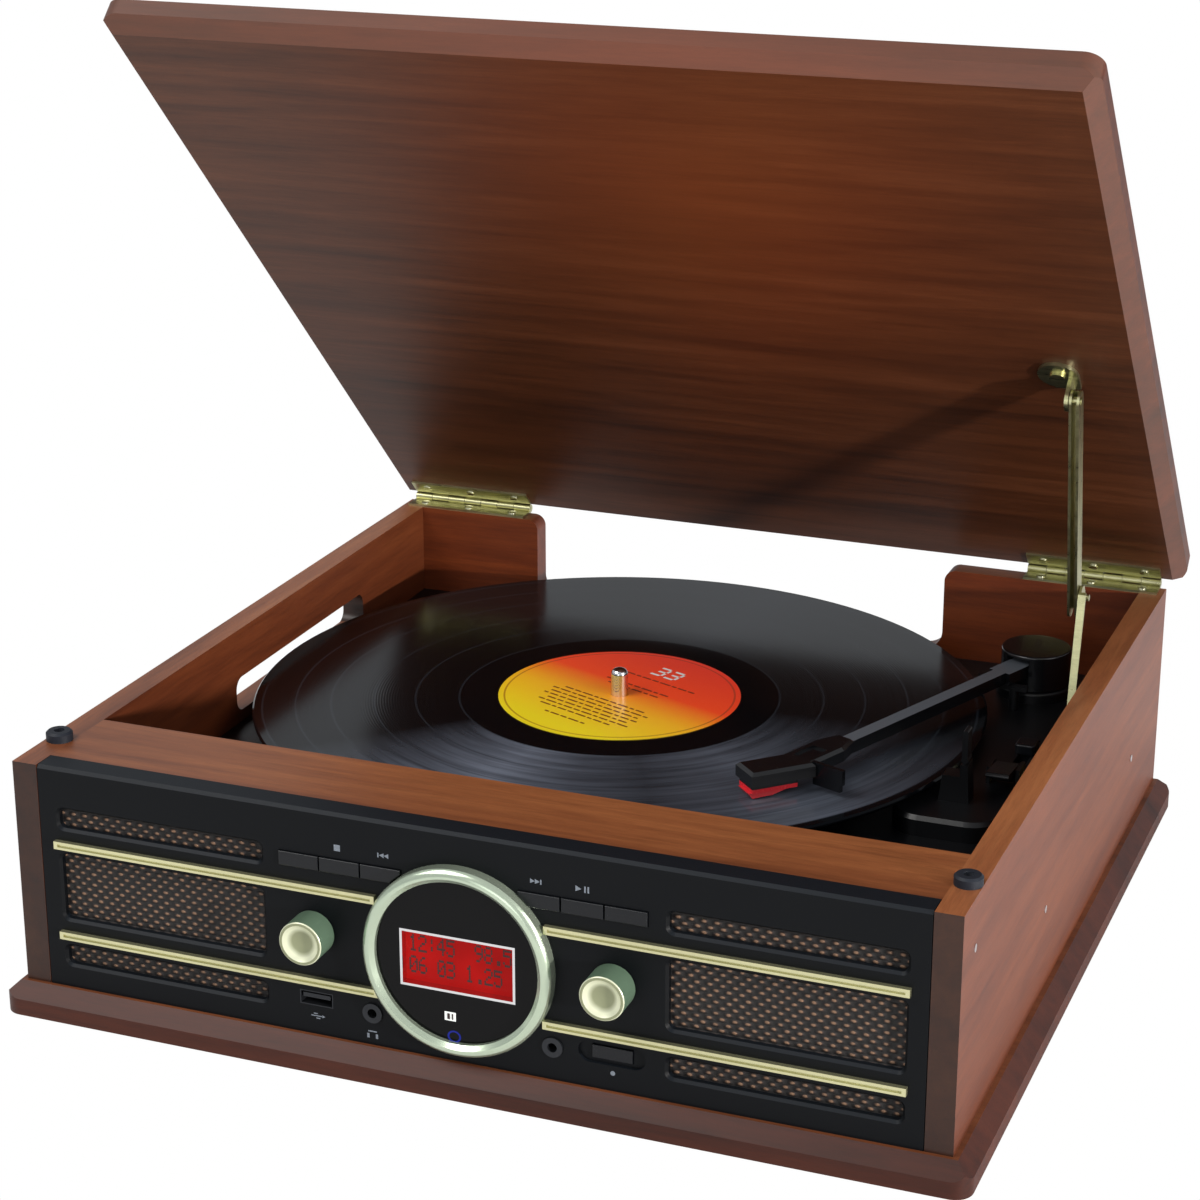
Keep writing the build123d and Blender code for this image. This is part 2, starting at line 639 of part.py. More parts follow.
# Four bright trim strips, each a shallow channel with closed ends
with BuildPart() as trim_strips:
    for trim_z in (UPPER_TRIM_Z, LOWER_TRIM_Z):
        rise = abs(trim_z - DIAL_Z) - TRIM_HEIGHT / 2
        start_x = sqrt((DIAL_RADIUS + FIT) ** 2 - rise**2)
        for side in (-1, 1):
            strip_x = side * (start_x + TRIM_END_X) / 2
            with BuildSketch(FASCIA_FACE):
                with Locations((strip_x, trim_z)):
                    Rectangle(TRIM_END_X - start_x, TRIM_HEIGHT)
            extrude(amount=TRIM_DEPTH)
            with BuildSketch(FASCIA_FACE.offset(TRIM_DEPTH)):
                with Locations((strip_x, trim_z)):
                    Rectangle(TRIM_END_X - start_x - TRIM_HEIGHT, TRIM_GROOVE)
            extrude(amount=-TRIM_GROOVE_DEPTH, mode=Mode.SUBTRACT)
write_piece(trim_strips, "trim_strips")

# Plane across the dial: local X to the right, local Y towards the listener
DIAL_PLANE = Plane(origin=(0, FRONT_Y, DIAL_Z), x_dir=(1, 0, 0), z_dir=(0, 0, -1))

# Dial bezel: a rounded ring that stands on the fascia with a spigot through it
with BuildPart() as dial_bezel:
    with BuildSketch(DIAL_PLANE):
        with BuildLine():
            Polyline(
                (DIAL_INNER_RADIUS, -FASCIA_WALL),
                (DIAL_SPIGOT_RADIUS, -FASCIA_WALL),
                (DIAL_SPIGOT_RADIUS, 0),
                (DIAL_RADIUS, 0),
                (DIAL_RADIUS, DIAL_DEPTH - 2.0),
            )
            RadiusArc(
                (DIAL_RADIUS, DIAL_DEPTH - DIAL_SHOULDER), (DIAL_INNER_RADIUS + DIAL_LIP, DIAL_DEPTH), -DIAL_CROWN
            )
            Polyline(
                (DIAL_INNER_RADIUS + DIAL_LIP, DIAL_DEPTH),
                (DIAL_INNER_RADIUS, DIAL_DEPTH - DIAL_LIP_DROP),
                (DIAL_INNER_RADIUS, -FASCIA_WALL),
            )
        make_face()
    revolve(axis=Axis(DIAL_PLANE.origin, DIAL_PLANE.y_dir))
write_piece(dial_bezel, "dial_bezel")

# Dial face with the recessed display
with BuildPart() as dial_face:
    with BuildSketch(FASCIA_FACE):
        with Locations((0, DIAL_Z)):
            Circle(DIAL_INNER_RADIUS - FIT)
        with Locations((0, SCREEN_Z)):
            Rectangle(SCREEN_WIDTH + 2 * SCREEN_FRAME, SCREEN_HEIGHT + 2 * SCREEN_FRAME, mode=Mode.SUBTRACT)
    extrude(amount=DIAL_FACE_DEPTH)
write_piece(dial_face, "dial_face")

with BuildPart() as display_frame:
    with BuildSketch(FASCIA_FACE.offset(DIAL_FACE_DEPTH)):
        with Locations((0, SCREEN_Z)):
            Rectangle(SCREEN_WIDTH + 2 * SCREEN_FRAME, SCREEN_HEIGHT + 2 * SCREEN_FRAME)
            Rectangle(SCREEN_WIDTH, SCREEN_HEIGHT, mode=Mode.SUBTRACT)
    extrude(amount=-SCREEN_RECESS - SCREEN_THICKNESS)
write_piece(display_frame, "display_frame")

with BuildPart() as display_screen:
    with BuildSketch(FASCIA_FACE.offset(DIAL_FACE_DEPTH - SCREEN_RECESS)):
        with Locations((0, SCREEN_Z)):
            Rectangle(SCREEN_WIDTH, SCREEN_HEIGHT)
    extrude(amount=-SCREEN_THICKNESS)
write_piece(display_screen, "display_screen")

# Push buttons: a cap in the fascia and a plunger towards its switch
for number, button_x in enumerate(sorted(BUTTON_XS), start=1):
    with BuildPart() as button:
        with BuildSketch(FASCIA_FACE.offset(BUTTON_PROUD)):
            with Locations((button_x, BUTTON_Z)):
                Rectangle(BUTTON_WIDTH, BUTTON_HEIGHT)
            with Locations((0, DIAL_Z)):
                Circle(DIAL_RADIUS + 2 * BUTTON_GAP, mode=Mode.SUBTRACT)
        extrude(amount=-BUTTON_PROUD - FASCIA_WALL - BUTTON_SKIRT)
        fillet(button.faces().sort_by(Axis.Y)[0].edges(), BUTTON_EDGE)
        with BuildSketch(FASCIA_REAR):
            with Locations((button_x, BUTTON_Z)):
                Circle(BUTTON_STEM_RADIUS)
        extrude(amount=-BUTTON_DEPTH + BUTTON_PROUD + FASCIA_WALL - BUTTON_STEM_EXTRA)
    write_piece(button, "button_" + str(number))

with BuildPart() as record_key:
    with BuildSketch(FASCIA_FACE.offset(-SCOOP_DEPTH + BUTTON_PROUD)):
        with Locations((RECORD_KEY_X, RECORD_KEY_Z)):
            Rectangle(RECORD_KEY_WIDTH, RECORD_KEY_HEIGHT)
    extrude(amount=-BUTTON_PROUD - FASCIA_WALL)
    fillet(record_key.faces().sort_by(Axis.Y)[0].edges(), BUTTON_EDGE)
    with BuildSketch(FASCIA_REAR):
        with Locations((RECORD_KEY_X, RECORD_KEY_Z)):
            Circle(BUTTON_STEM_RADIUS)
    extrude(amount=-BUTTON_DEPTH + BUTTON_PROUD + FASCIA_WALL - BUTTON_STEM_EXTRA)
write_piece(record_key, "record_key")

# Front circuit board: switches, encoders with their shafts, and its edge parts
BUTTON_END_Y = FRONT_Y + FASCIA_WALL + BUTTON_DEPTH - BUTTON_PROUD - FASCIA_WALL + BUTTON_STEM_EXTRA
SWITCH_TOP_Y = BUTTON_END_Y + BUTTON_TRAVEL + SWITCH_GAP
with BuildPart() as front_board:
    with BuildSketch(Plane.XZ.offset(-FRONT_BOARD_Y)):
        with Locations((0, FRONT_BOARD_Z)):
            Rectangle(FRONT_BOARD_WIDTH, FRONT_BOARD_HEIGHT)
    extrude(amount=-CIRCUIT_BOARD)
    with BuildSketch(Plane.XZ.offset(-FRONT_BOARD_Y)):
        with Locations(*[(x, BUTTON_Z) for x in BUTTON_XS], (RECORD_KEY_X, RECORD_KEY_Z)):
            Rectangle(SWITCH_SIZE, SWITCH_SIZE)
    extrude(amount=FRONT_BOARD_Y - SWITCH_TOP_Y)
    with BuildSketch(Plane.XZ.offset(-FRONT_BOARD_Y)):
        with Locations((-KNOB_X, KNOB_Z), (KNOB_X, KNOB_Z)):
            Rectangle(ENCODER_SIZE, ENCODER_SIZE)
    extrude(amount=ENCODER_DEPTH)
    with BuildSketch(Plane.XZ.offset(-FRONT_BOARD_Y)):
        with Locations((-KNOB_X, KNOB_Z), (KNOB_X, KNOB_Z)):
            Circle(SHAFT_RADIUS)
    extrude(amount=FRONT_BOARD_Y - FRONT_Y + KNOB_LENGTH - KNOB_DISH - KNOB_WALL - RUNNING_FIT)
write_piece(front_board, "front_board")

# Knobs: a straight grip with a dished face and a rounded rim
DISH_RADIUS = ((KNOB_RADIUS - KNOB_WALL) ** 2 + KNOB_DISH**2) / (2 * KNOB_DISH)
for side, knob_name in ((-1, "volume_knob"), (1, "tuning_knob")):
    with BuildPart() as knob:
        with BuildSketch(FASCIA_FACE.offset(KNOB_OFF_FACE)):
            with Locations((side * KNOB_X, KNOB_Z)):
                Circle(KNOB_RADIUS)
        extrude(amount=KNOB_LENGTH - KNOB_OFF_FACE)
        fillet(knob.faces().sort_by(Axis.Y)[0].edges(), KNOB_WALL / 2)
        with Locations((side * KNOB_X, FRONT_Y - KNOB_LENGTH + KNOB_DISH - DISH_RADIUS, KNOB_Z)):
            Sphere(DISH_RADIUS, mode=Mode.SUBTRACT)
        with BuildSketch(FASCIA_FACE):
            with Locations((side * KNOB_X, KNOB_Z)):
                Circle(SHAFT_RADIUS + RUNNING_FIT)
        extrude(amount=KNOB_LENGTH - KNOB_DISH - KNOB_WALL, mode=Mode.SUBTRACT)
    write_piece(knob, knob_name)

# Flat port and the two small round sockets, all carried by the front board
with BuildPart() as front_sockets:
    with BuildSketch(FASCIA_FACE):
        with Locations((USB_X, USB_Z)):
            Rectangle(USB_WIDTH, USB_HEIGHT)
            Rectangle(USB_WIDTH - 2 * USB_WALL, USB_HEIGHT - 2 * USB_WALL, mode=Mode.SUBTRACT)
    extrude(amount=FRONT_Y - FRONT_BOARD_Y)
    with BuildSketch(Plane.XZ.offset(-FRONT_BOARD_Y)):
        with Locations((USB_X, USB_Z)):
            Rectangle(USB_WIDTH, USB_HEIGHT)
    extrude(amount=USB_BACK)
    with BuildSketch(FASCIA_FACE.offset(-USB_WALL)):
        with Locations((USB_X, USB_Z + USB_TONGUE / 2)):
            Rectangle(USB_WIDTH - 6 * USB_WALL, USB_TONGUE)
    extrude(amount=FRONT_Y - FRONT_BOARD_Y + USB_BACK)
    for side in (-1, 1):
        with BuildSketch(FASCIA_FACE):
            with Locations((side * JACK_X, JACK_Z)):
                Circle(JACK_RADIUS)
        extrude(amount=JACK_RING)
        with BuildSketch(FASCIA_FACE):
            with Locations((side * JACK_X, JACK_Z)):
                Circle(JACK_BARREL_RADIUS)
        extrude(amount=FRONT_Y - FRONT_BOARD_Y)
    with BuildSketch(FASCIA_FACE.offset(JACK_RING)):
        with Locations((-JACK_X, JACK_Z), (JACK_X, JACK_Z)):
            Circle(JACK_BORE_RADIUS)
    extrude(amount=-JACK_DEPTH, mode=Mode.SUBTRACT)
write_piece(front_sockets, "front_sockets")

# Main circuit board on its pillars, with the power parts
MAIN_BOARD_RISE = 6.0
MAIN_BOARD_WIDTH = 150.0
MAIN_BOARD_DEPTH = 100.0
MAIN_BOARD_X = 70.0
MAIN_BOARD_BACK_GAP = 22.5
PILLAR_INSET = 6.0
PILLAR_RADIUS = 3.0
TRANSFORMER_X = 118.0
TRANSFORMER_BACK_GAP = 50.5
TRANSFORMER_WIDTH = 30.0
TRANSFORMER_DEPTH = 26.0
TRANSFORMER_HEIGHT = 22.0
CAPACITOR_RADIUS = 5.0
CAPACITOR_HEIGHT = 16.0
CHIP_SIZE = 14.0
CHIP_HEIGHT = 2.0
PILLAR_PITCH_X = MAIN_BOARD_WIDTH - 2 * PILLAR_INSET
PILLAR_PITCH_Y = MAIN_BOARD_DEPTH - 2 * PILLAR_INSET
MAIN_BOARD_Z = BASE_TOP + MAIN_BOARD_RISE
MAIN_BOARD_Y = BACK_INNER_Y - MAIN_BOARD_BACK_GAP - MAIN_BOARD_DEPTH / 2
BOARD_FACE = Plane.XY.offset(MAIN_BOARD_Z + CIRCUIT_BOARD)
# Places on the board, measured from its middle
CAPACITOR_PLACES = ((16.0, 30.0), (16.0, 14.0), (-10.0, 26.0))
CHIP_PLACES = ((-40.0, -30.0), (-10.0, -20.0))
with BuildPart() as main_board:
    with BuildSketch(Plane.XY.offset(MAIN_BOARD_Z)):
        with Locations((MAIN_BOARD_X, MAIN_BOARD_Y)):
            Rectangle(MAIN_BOARD_WIDTH, MAIN_BOARD_DEPTH)
    extrude(amount=CIRCUIT_BOARD)
    with BuildSketch(Plane.XY.offset(BASE_TOP)):
        with Locations((MAIN_BOARD_X, MAIN_BOARD_Y)):
            with GridLocations(PILLAR_PITCH_X, PILLAR_PITCH_Y, 2, 2):
                Circle(PILLAR_RADIUS)
    extrude(amount=MAIN_BOARD_Z - BASE_TOP)
    with BuildSketch(BOARD_FACE):
        with Locations((TRANSFORMER_X, BACK_INNER_Y - TRANSFORMER_BACK_GAP)):
            Rectangle(TRANSFORMER_WIDTH, TRANSFORMER_DEPTH)
    extrude(amount=TRANSFORMER_HEIGHT)
    with BuildSketch(BOARD_FACE):
        with Locations(*[(MAIN_BOARD_X + x, MAIN_BOARD_Y + y) for x, y in CAPACITOR_PLACES]):
            Circle(CAPACITOR_RADIUS)
    extrude(amount=CAPACITOR_HEIGHT)
    with BuildSketch(BOARD_FACE):
        with Locations(*[(MAIN_BOARD_X + x, MAIN_BOARD_Y + y) for x, y in CHIP_PLACES]):
            Rectangle(CHIP_SIZE, CHIP_SIZE)
    extrude(amount=CHIP_HEIGHT)
write_piece(main_board, "main_board")

# Rear socket plate with the mains inlet, and the pair of line-out sockets
with BuildPart() as rear_socket_plate:
    with BuildSketch(Plane.XZ.offset(-BACK_Y)):
        with Locations((SOCKETS_X, SOCKETS_Z)):
            RectangleRounded(SOCKETS_WIDTH + 2 * SOCKETS_FLANGE, SOCKETS_HEIGHT + 2 * SOCKETS_FLANGE, 2)
    extrude(amount=-SOCKETS_PLATE)
    with BuildSketch(Plane.XZ.offset(-BACK_Y)):
        with Locations((INLET_X, SOCKETS_Z)):
            RectangleRounded(INLET_WIDTH + INLET_SHELL, INLET_HEIGHT + INLET_SHELL, 2)
    extrude(amount=INLET_DEPTH)
    with BuildSketch(Plane.XZ.offset(-BACK_Y - SOCKETS_PLATE)):
        with Locations((INLET_X, SOCKETS_Z)):
            SlotOverall(INLET_WIDTH - 2, INLET_HEIGHT - 2)
    extrude(amount=INLET_DEPTH, mode=Mode.SUBTRACT)
    with BuildSketch(Plane.XZ.offset(-BACK_Y + INLET_DEPTH)):
        with Locations((INLET_X - INLET_PIN_OFFSET, SOCKETS_Z), (INLET_X + INLET_PIN_OFFSET, SOCKETS_Z)):
            Circle(INLET_PIN_RADIUS)
    extrude(amount=-INLET_DEPTH + 1)
    with BuildSketch(Plane.XZ.offset(-BACK_Y - SOCKETS_PLATE)):
        with Locations((LINE_OUT_X, SOCKETS_Z)):
            with GridLocations(LINE_OUT_PITCH, 1, 2, 1):
                Circle(LINE_OUT_HOLE_RADIUS)
    extrude(amount=SOCKETS_PLATE, mode=Mode.SUBTRACT)
write_piece(rear_socket_plate, "rear_socket_plate")

with BuildPart() as line_out_sockets:
    for place_x in (LINE_OUT_X - LINE_OUT_PITCH / 2, LINE_OUT_X + LINE_OUT_PITCH / 2):
        with BuildSketch(Plane.XZ.offset(-BACK_Y - SOCKETS_PLATE)):
            with Locations((place_x, SOCKETS_Z)):
                Circle(LINE_OUT_RADIUS)
        extrude(amount=-LINE_OUT_REACH)
        with BuildSketch(Plane.XZ.offset(-BACK_Y - SOCKETS_PLATE)):
            with Locations((place_x, SOCKETS_Z)):
                Circle(LINE_OUT_BARREL_RADIUS)
        extrude(amount=LINE_OUT_BARREL)
        with BuildSketch(Plane.XZ.offset(-BACK_Y - SOCKETS_PLATE - LINE_OUT_REACH)):
            with Locations((place_x, SOCKETS_Z)):
                Circle(LINE_OUT_BORE_RADIUS)
        extrude(amount=LINE_OUT_REACH, mode=Mode.SUBTRACT)
write_piece(line_out_sockets, "line_out_sockets")

# Deck plate on moulded posts, with the holes for the bearing, motor and levers
DECK_FRONT_Y = RAIL_BACK_Y + SIDE_PLAY
DECK_BACK_Y = BACK_INNER_Y - SIDE_PLAY
SPEED_LEVER_X = CUE_LEVER_X + 1.0
with BuildPart() as deck_plate:
    with BuildSketch(Plane.XY.offset(DECK_TOP_Z - DECK)):
        with Locations((0, (DECK_FRONT_Y + DECK_BACK_Y) / 2)):
            Rectangle(2 * (INNER_X - SIDE_PLAY), DECK_BACK_Y - DECK_FRONT_Y)
    extrude(amount=DECK)
    with BuildSketch(Plane.XY.offset(BASE_TOP)):
        with Locations((0, (DECK_FRONT_Y + DECK_BACK_Y) / 2)):
            with GridLocations(2 * (INNER_X - DECK_POST_INSET), DECK_POST_PITCH_Y, 2, 2):
                Circle(DECK_POST_RADIUS)
    extrude(amount=DECK_TOP_Z - DECK - BASE_TOP)
    with BuildSketch(Plane.XY.offset(DECK_TOP_Z)):
        with Locations((SPINDLE_X, SPINDLE_Y)):
            Circle(PLATTER_RADIUS + DECK_RING_OUT)
            Circle(PLATTER_RADIUS + DECK_RING_IN, mode=Mode.SUBTRACT)
    extrude(amount=DECK_RING_RISE)
    with BuildSketch(Plane.XY.offset(DECK_TOP_Z - DECK)):
        with Locations((SPINDLE_X, SPINDLE_Y)):
            Circle(BEARING_OUTER_RADIUS + FIT)
        with Locations((MOTOR_X, MOTOR_Y)):
            Circle(MOTOR_HOLE_RADIUS)
        with Locations((INNER_X - STAY_NOTCH_WIDTH / 2, STAY_NOTCH_MIDDLE_Y)):
            Rectangle(STAY_NOTCH_WIDTH, STAY_NOTCH_BACK + STAY_NOTCH_FRONT)
    extrude(amount=DECK + 1, mode=Mode.SUBTRACT)
write_piece(deck_plate, "deck_plate")

# Bearing, platter, mat and spindle
with BuildPart() as platter_bearing:
    with BuildSketch(Plane.XY.offset(DECK_TOP_Z)):
        with Locations((SPINDLE_X, SPINDLE_Y)):
            Circle(BEARING_OUTER_RADIUS + BEARING_FLANGE_WIDTH)
    extrude(amount=BEARING_FLANGE)
    with BuildSketch(Plane.XY.offset(DECK_TOP_Z)):
        with Locations((SPINDLE_X, SPINDLE_Y)):
            Circle(BEARING_OUTER_RADIUS)
    extrude(amount=-BEARING_LENGTH)
    with BuildSketch(Plane.XY.offset(DECK_TOP_Z + BEARING_FLANGE)):
        with Locations((SPINDLE_X, SPINDLE_Y)):
            Circle(SPINDLE_RADIUS + RUNNING_FIT)
    extrude(amount=-BEARING_LENGTH - BEARING_FLANGE, mode=Mode.SUBTRACT)
write_piece(platter_bearing, "platter_bearing")

HUB_LOW_Z = DECK_TOP_Z + BEARING_FLANGE + HUB_GAP
PLATE_LOW_Z = PLATTER_TOP_Z - PLATTER_PLATE
with BuildPart() as platter:
    with BuildSketch(Plane.XZ):
        with BuildLine():
            Polyline(
                (SPINDLE_RADIUS, PLATTER_TOP_Z),
                (PLATTER_RADIUS - PLATTER_BEVEL, PLATTER_TOP_Z),
                (PLATTER_RADIUS, PLATTER_TOP_Z - PLATTER_BEVEL),
                (PLATTER_RADIUS, PLATTER_RIM_LOW_Z),
                (PLATTER_RADIUS - PLATTER_WALL, PLATTER_RIM_LOW_Z),
                (PLATTER_RADIUS - PLATTER_WALL, PLATE_LOW_Z),
                (DRIVE_RING_RADIUS, PLATE_LOW_Z),
                (DRIVE_RING_RADIUS, BELT_LOW_Z - BELT_MARGIN),
                (DRIVE_RING_RADIUS - DRIVE_RING_WALL, BELT_LOW_Z - BELT_MARGIN),
                (DRIVE_RING_RADIUS - DRIVE_RING_WALL, PLATE_LOW_Z),
                (HUB_RADIUS, PLATE_LOW_Z),
                (HUB_RADIUS, HUB_LOW_Z),
                (SPINDLE_RADIUS, HUB_LOW_Z),
                close=True,
            )
        make_face()
    revolve(axis=Axis.Z)
    with BuildSketch(Plane.XY.offset(PLATE_LOW_Z)):
        with PolarLocations((DRIVE_RING_RADIUS - DRIVE_RING_WALL + HUB_RADIUS) / 2, PLATTER_SLOTS):
            SlotOverall(PLATTER_SLOT_LENGTH, PLATTER_SLOT_WIDTH, rotation=90)
    extrude(amount=PLATTER_PLATE, mode=Mode.SUBTRACT)
    platter.part = platter.part.translate((SPINDLE_X, SPINDLE_Y, 0))
write_piece(platter, "platter")

with BuildPart() as platter_mat:
    with BuildSketch(Plane.XY.offset(PLATTER_TOP_Z)):
        with Locations((SPINDLE_X, SPINDLE_Y)):
            Circle(MAT_RADIUS)
            Circle(SPINDLE_RADIUS + FIT, mode=Mode.SUBTRACT)
    extrude(amount=MAT_THICKNESS)
write_piece(platter_mat, "platter_mat")

with BuildPart() as spindle:
    with BuildSketch(Plane.XY.offset(SPINDLE_LOW_Z)):
        with Locations((SPINDLE_X, SPINDLE_Y)):
            Circle(SPINDLE_RADIUS)
    extrude(amount=SPINDLE_TOP_Z - SPINDLE_LOW_Z)
    fillet(spindle.faces().sort_by(Axis.Z)[-1].edges(), SPINDLE_RADIUS * SPINDLE_DOME)
write_piece(spindle, "spindle")

# Motor under the deck, its pulley and the flat drive belt
with BuildPart() as motor:
    with BuildSketch(Plane.XY.offset(DECK_TOP_Z - DECK)):
        with Locations((MOTOR_X, MOTOR_Y)):
            SlotOverall(MOTOR_PLATE_LENGTH, 2 * MOTOR_RADIUS + 2, rotation=MOTOR_PLATE_TURN)
            Circle(MOTOR_PLATE_HOLE, mode=Mode.SUBTRACT)
    extrude(amount=-2)
    with BuildSketch(Plane.XY.offset(DECK_TOP_Z - DECK - 2)):
        with Locations((MOTOR_X, MOTOR_Y)):
            Circle(MOTOR_RADIUS)
    extrude(amount=-MOTOR_LENGTH)
    with BuildSketch(Plane.XY.offset(DECK_TOP_Z - DECK - 2)):
        with Locations((MOTOR_X, MOTOR_Y)):
            Circle(MOTOR_SHAFT_RADIUS)
    extrude(amount=BELT_LOW_Z + BELT_WIDTH - DECK_TOP_Z + DECK + 1)
write_piece(motor, "motor")

with BuildPart() as motor_pulley:
    with BuildSketch(Plane.XY.offset(BELT_LOW_Z - 1)):
        with Locations((MOTOR_X, MOTOR_Y)):
            Circle(PULLEY_RADIUS + 1)
    extrude(amount=PULLEY_FLANGE)
    with BuildSketch(Plane.XY.offset(BELT_LOW_Z - PULLEY_MARGIN)):
        with Locations((MOTOR_X, MOTOR_Y)):
            Circle(PULLEY_RADIUS)
    extrude(amount=BELT_WIDTH + 2 * PULLEY_MARGIN)
    with BuildSketch(Plane.XY.offset(BELT_LOW_Z - 1)):
        with Locations((MOTOR_X, MOTOR_Y)):
            Circle(MOTOR_SHAFT_RADIUS + RUNNING_FIT)
    extrude(amount=BELT_WIDTH + 2, mode=Mode.SUBTRACT)
write_piece(motor_pulley, "motor_pulley")

with BuildPart() as drive_belt:
    with BuildSketch(Plane.XY.offset(BELT_LOW_Z)):
        with Locations((SPINDLE_X, SPINDLE_Y)):
            Circle(DRIVE_RING_RADIUS + BELT_GAP + BELT_THICKNESS)
        with Locations((MOTOR_X, MOTOR_Y)):
            Circle(PULLEY_RADIUS + BELT_GAP + BELT_THICKNESS)
        make_hull()
    extrude(amount=BELT_WIDTH)
    with BuildSketch(Plane.XY.offset(BELT_LOW_Z)):
        with Locations((SPINDLE_X, SPINDLE_Y)):
            Circle(DRIVE_RING_RADIUS + BELT_GAP)
        with Locations((MOTOR_X, MOTOR_Y)):
            Circle(PULLEY_RADIUS + BELT_GAP)
        make_hull()
    extrude(amount=BELT_WIDTH, mode=Mode.SUBTRACT)
write_piece(drive_belt, "drive_belt")

# Record and its label
with BuildPart() as record:
    with BuildSketch(Plane.XY.offset(RECORD_TOP_Z - RECORD_THICKNESS)):
        with Locations((SPINDLE_X, SPINDLE_Y)):
            Circle(RECORD_RADIUS)
            Circle(RECORD_HOLE_RADIUS, mode=Mode.SUBTRACT)
    extrude(amount=RECORD_THICKNESS)
    chamfer(record.edges().filter_by(GeomType.CIRCLE).group_by(SortBy.RADIUS)[-1], RECORD_EDGE)
write_piece(record, "record")

with BuildPart() as record_label:
    with BuildSketch(Plane.XY.offset(RECORD_TOP_Z)):
        with Locations((SPINDLE_X, SPINDLE_Y)):
            Circle(LABEL_RADIUS)
            Circle(RECORD_HOLE_RADIUS, mode=Mode.SUBTRACT)
    extrude(amount=LABEL_THICKNESS)
write_piece(record_label, "record_label")

CUE_STEM_X = ARM_X - CUE_RADIUS * sin(radians(CUE_STEM_HEADING))
CUE_STEM_Y = ARM_Y - CUE_RADIUS * cos(radians(CUE_STEM_HEADING))

# Tonearm base: a raised plinth with a column, an arm rest and lever seats
with BuildPart() as tonearm_base:
    with BuildSketch(Plane.XY.offset(DECK_TOP_Z)):
        with Locations(((PLINTH_LEFT_X + PLINTH_RIGHT_X) / 2, (PLINTH_FRONT_Y + PLINTH_BACK_Y) / 2)):
            RectangleRounded(PLINTH_RIGHT_X - PLINTH_LEFT_X, PLINTH_BACK_Y - PLINTH_FRONT_Y, PLINTH_CORNER)
    extrude(amount=PLINTH_TOP_Z - DECK_TOP_Z)
    chamfer(tonearm_base.faces().sort_by(Axis.Z)[-1].edges(), PLINTH_BEVEL)
    with BuildSketch(Plane.XY.offset(PLINTH_TOP_Z)):
        with Locations((ARM_X, ARM_Y)):
            Circle(TURRET_RADIUS + TURRET_SEAT_MARGIN)
    extrude(amount=TURRET_LOW_Z - TURRET_GAP - PLINTH_TOP_Z)
    fillet(tonearm_base.faces().sort_by(Axis.Z)[-1].edges(), TURRET_SEAT_EDGE)
    with BuildSketch(Plane.XY.offset(PLINTH_TOP_Z)):
        with Locations((ARM_X, ARM_Y)):
            Circle(TURRET_POST_RADIUS)
    extrude(amount=TURRET_LOW_Z + TURRET_POST_RISE - PLINTH_TOP_Z)
    with BuildSketch(Plane.XY.offset(PLINTH_TOP_Z)):
        with Locations((CUE_LEVER_X, CUE_LEVER_Y + 2)):
            Rectangle(CUE_EARS, CUE_EARS_DEPTH)
            Rectangle(CUE_EARS_ROOM, CUE_EARS_CUT, mode=Mode.SUBTRACT)
    extrude(amount=CUE_EARS_HEIGHT)
    with BuildSketch(Plane.YZ.offset(CUE_LEVER_X)):
        with Locations((CUE_LEVER_Y + CUE_PIN_BEHIND, PLINTH_TOP_Z + CUE_PIN_RISE)):
            Circle(CUE_PIN_RADIUS + RUNNING_FIT)
    extrude(amount=CUE_EARS / 2, both=True, mode=Mode.SUBTRACT)
    with BuildSketch(Plane.XY.offset(PLINTH_TOP_Z)):
        with Locations((SPEED_LEVER_X, SPEED_LEVER_Y)):
            Rectangle(SPEED_SLOT_WIDTH, SPEED_SLOT_LENGTH)
    extrude(amount=-SPEED_SLOT_DEPTH, mode=Mode.SUBTRACT)
    with BuildSketch(Plane.XY.offset(PLINTH_TOP_Z)):
        with Locations((CUE_STEM_X, CUE_STEM_Y)):
            Circle(CUE_STEM_BORE)
    extrude(amount=PLINTH_TOP_Z * -1 + DECK_TOP_Z + 1, mode=Mode.SUBTRACT)
write_piece(tonearm_base, "tonearm_base")

# Arm rest: a post with a saddle and an outer cheek
with BuildPart() as arm_rest:
    with BuildSketch(Plane.XZ.offset(-ARM_REST_Y - ARM_REST_DEPTH / 2)):
        with BuildLine():
            Polyline(
                (ARM_REST_X - ARM_REST_LEFT, PLINTH_TOP_Z),
                (ARM_REST_X + ARM_REST_RIGHT, PLINTH_TOP_Z),
                (ARM_REST_X + ARM_REST_TOP_RIGHT, ARM_AXIS_Z + ARM_REST_RISE),
                (ARM_REST_X + ARM_REST_CHEEK, ARM_AXIS_Z + ARM_REST_RISE),
                (ARM_REST_X + ARM_REST_CHEEK, ARM_AXIS_Z - ARM_TUBE_HEIGHT / 2 - ARM_SEAT),
                (ARM_REST_X - ARM_REST_LIP, ARM_AXIS_Z - ARM_TUBE_HEIGHT / 2 - ARM_SEAT),
                close=True,
            )
        make_face()
    extrude(amount=ARM_REST_DEPTH)
write_piece(arm_rest, "arm_rest")

# Straight clip on the arm rest's outer cheek
ARM_CLIP_X = ARM_REST_X + CLIP_SIDE
ARM_CLIP_Z = ARM_AXIS_Z + CLIP_RISE
with BuildPart() as arm_clip:
    with BuildSketch(Plane.XZ.offset(-ARM_REST_Y - CLIP_DEPTH / 2)):
        with Locations((ARM_CLIP_X, ARM_CLIP_Z)):
            Circle(CLIP_PIVOT_RADIUS)
        with Locations((ARM_CLIP_X, ARM_CLIP_Z + CLIP_LENGTH / 2)):
            RectangleRounded(CLIP_WIDTH, CLIP_LENGTH, CLIP_CORNER)
    extrude(amount=CLIP_DEPTH)
write_piece(arm_clip, "arm_clip")

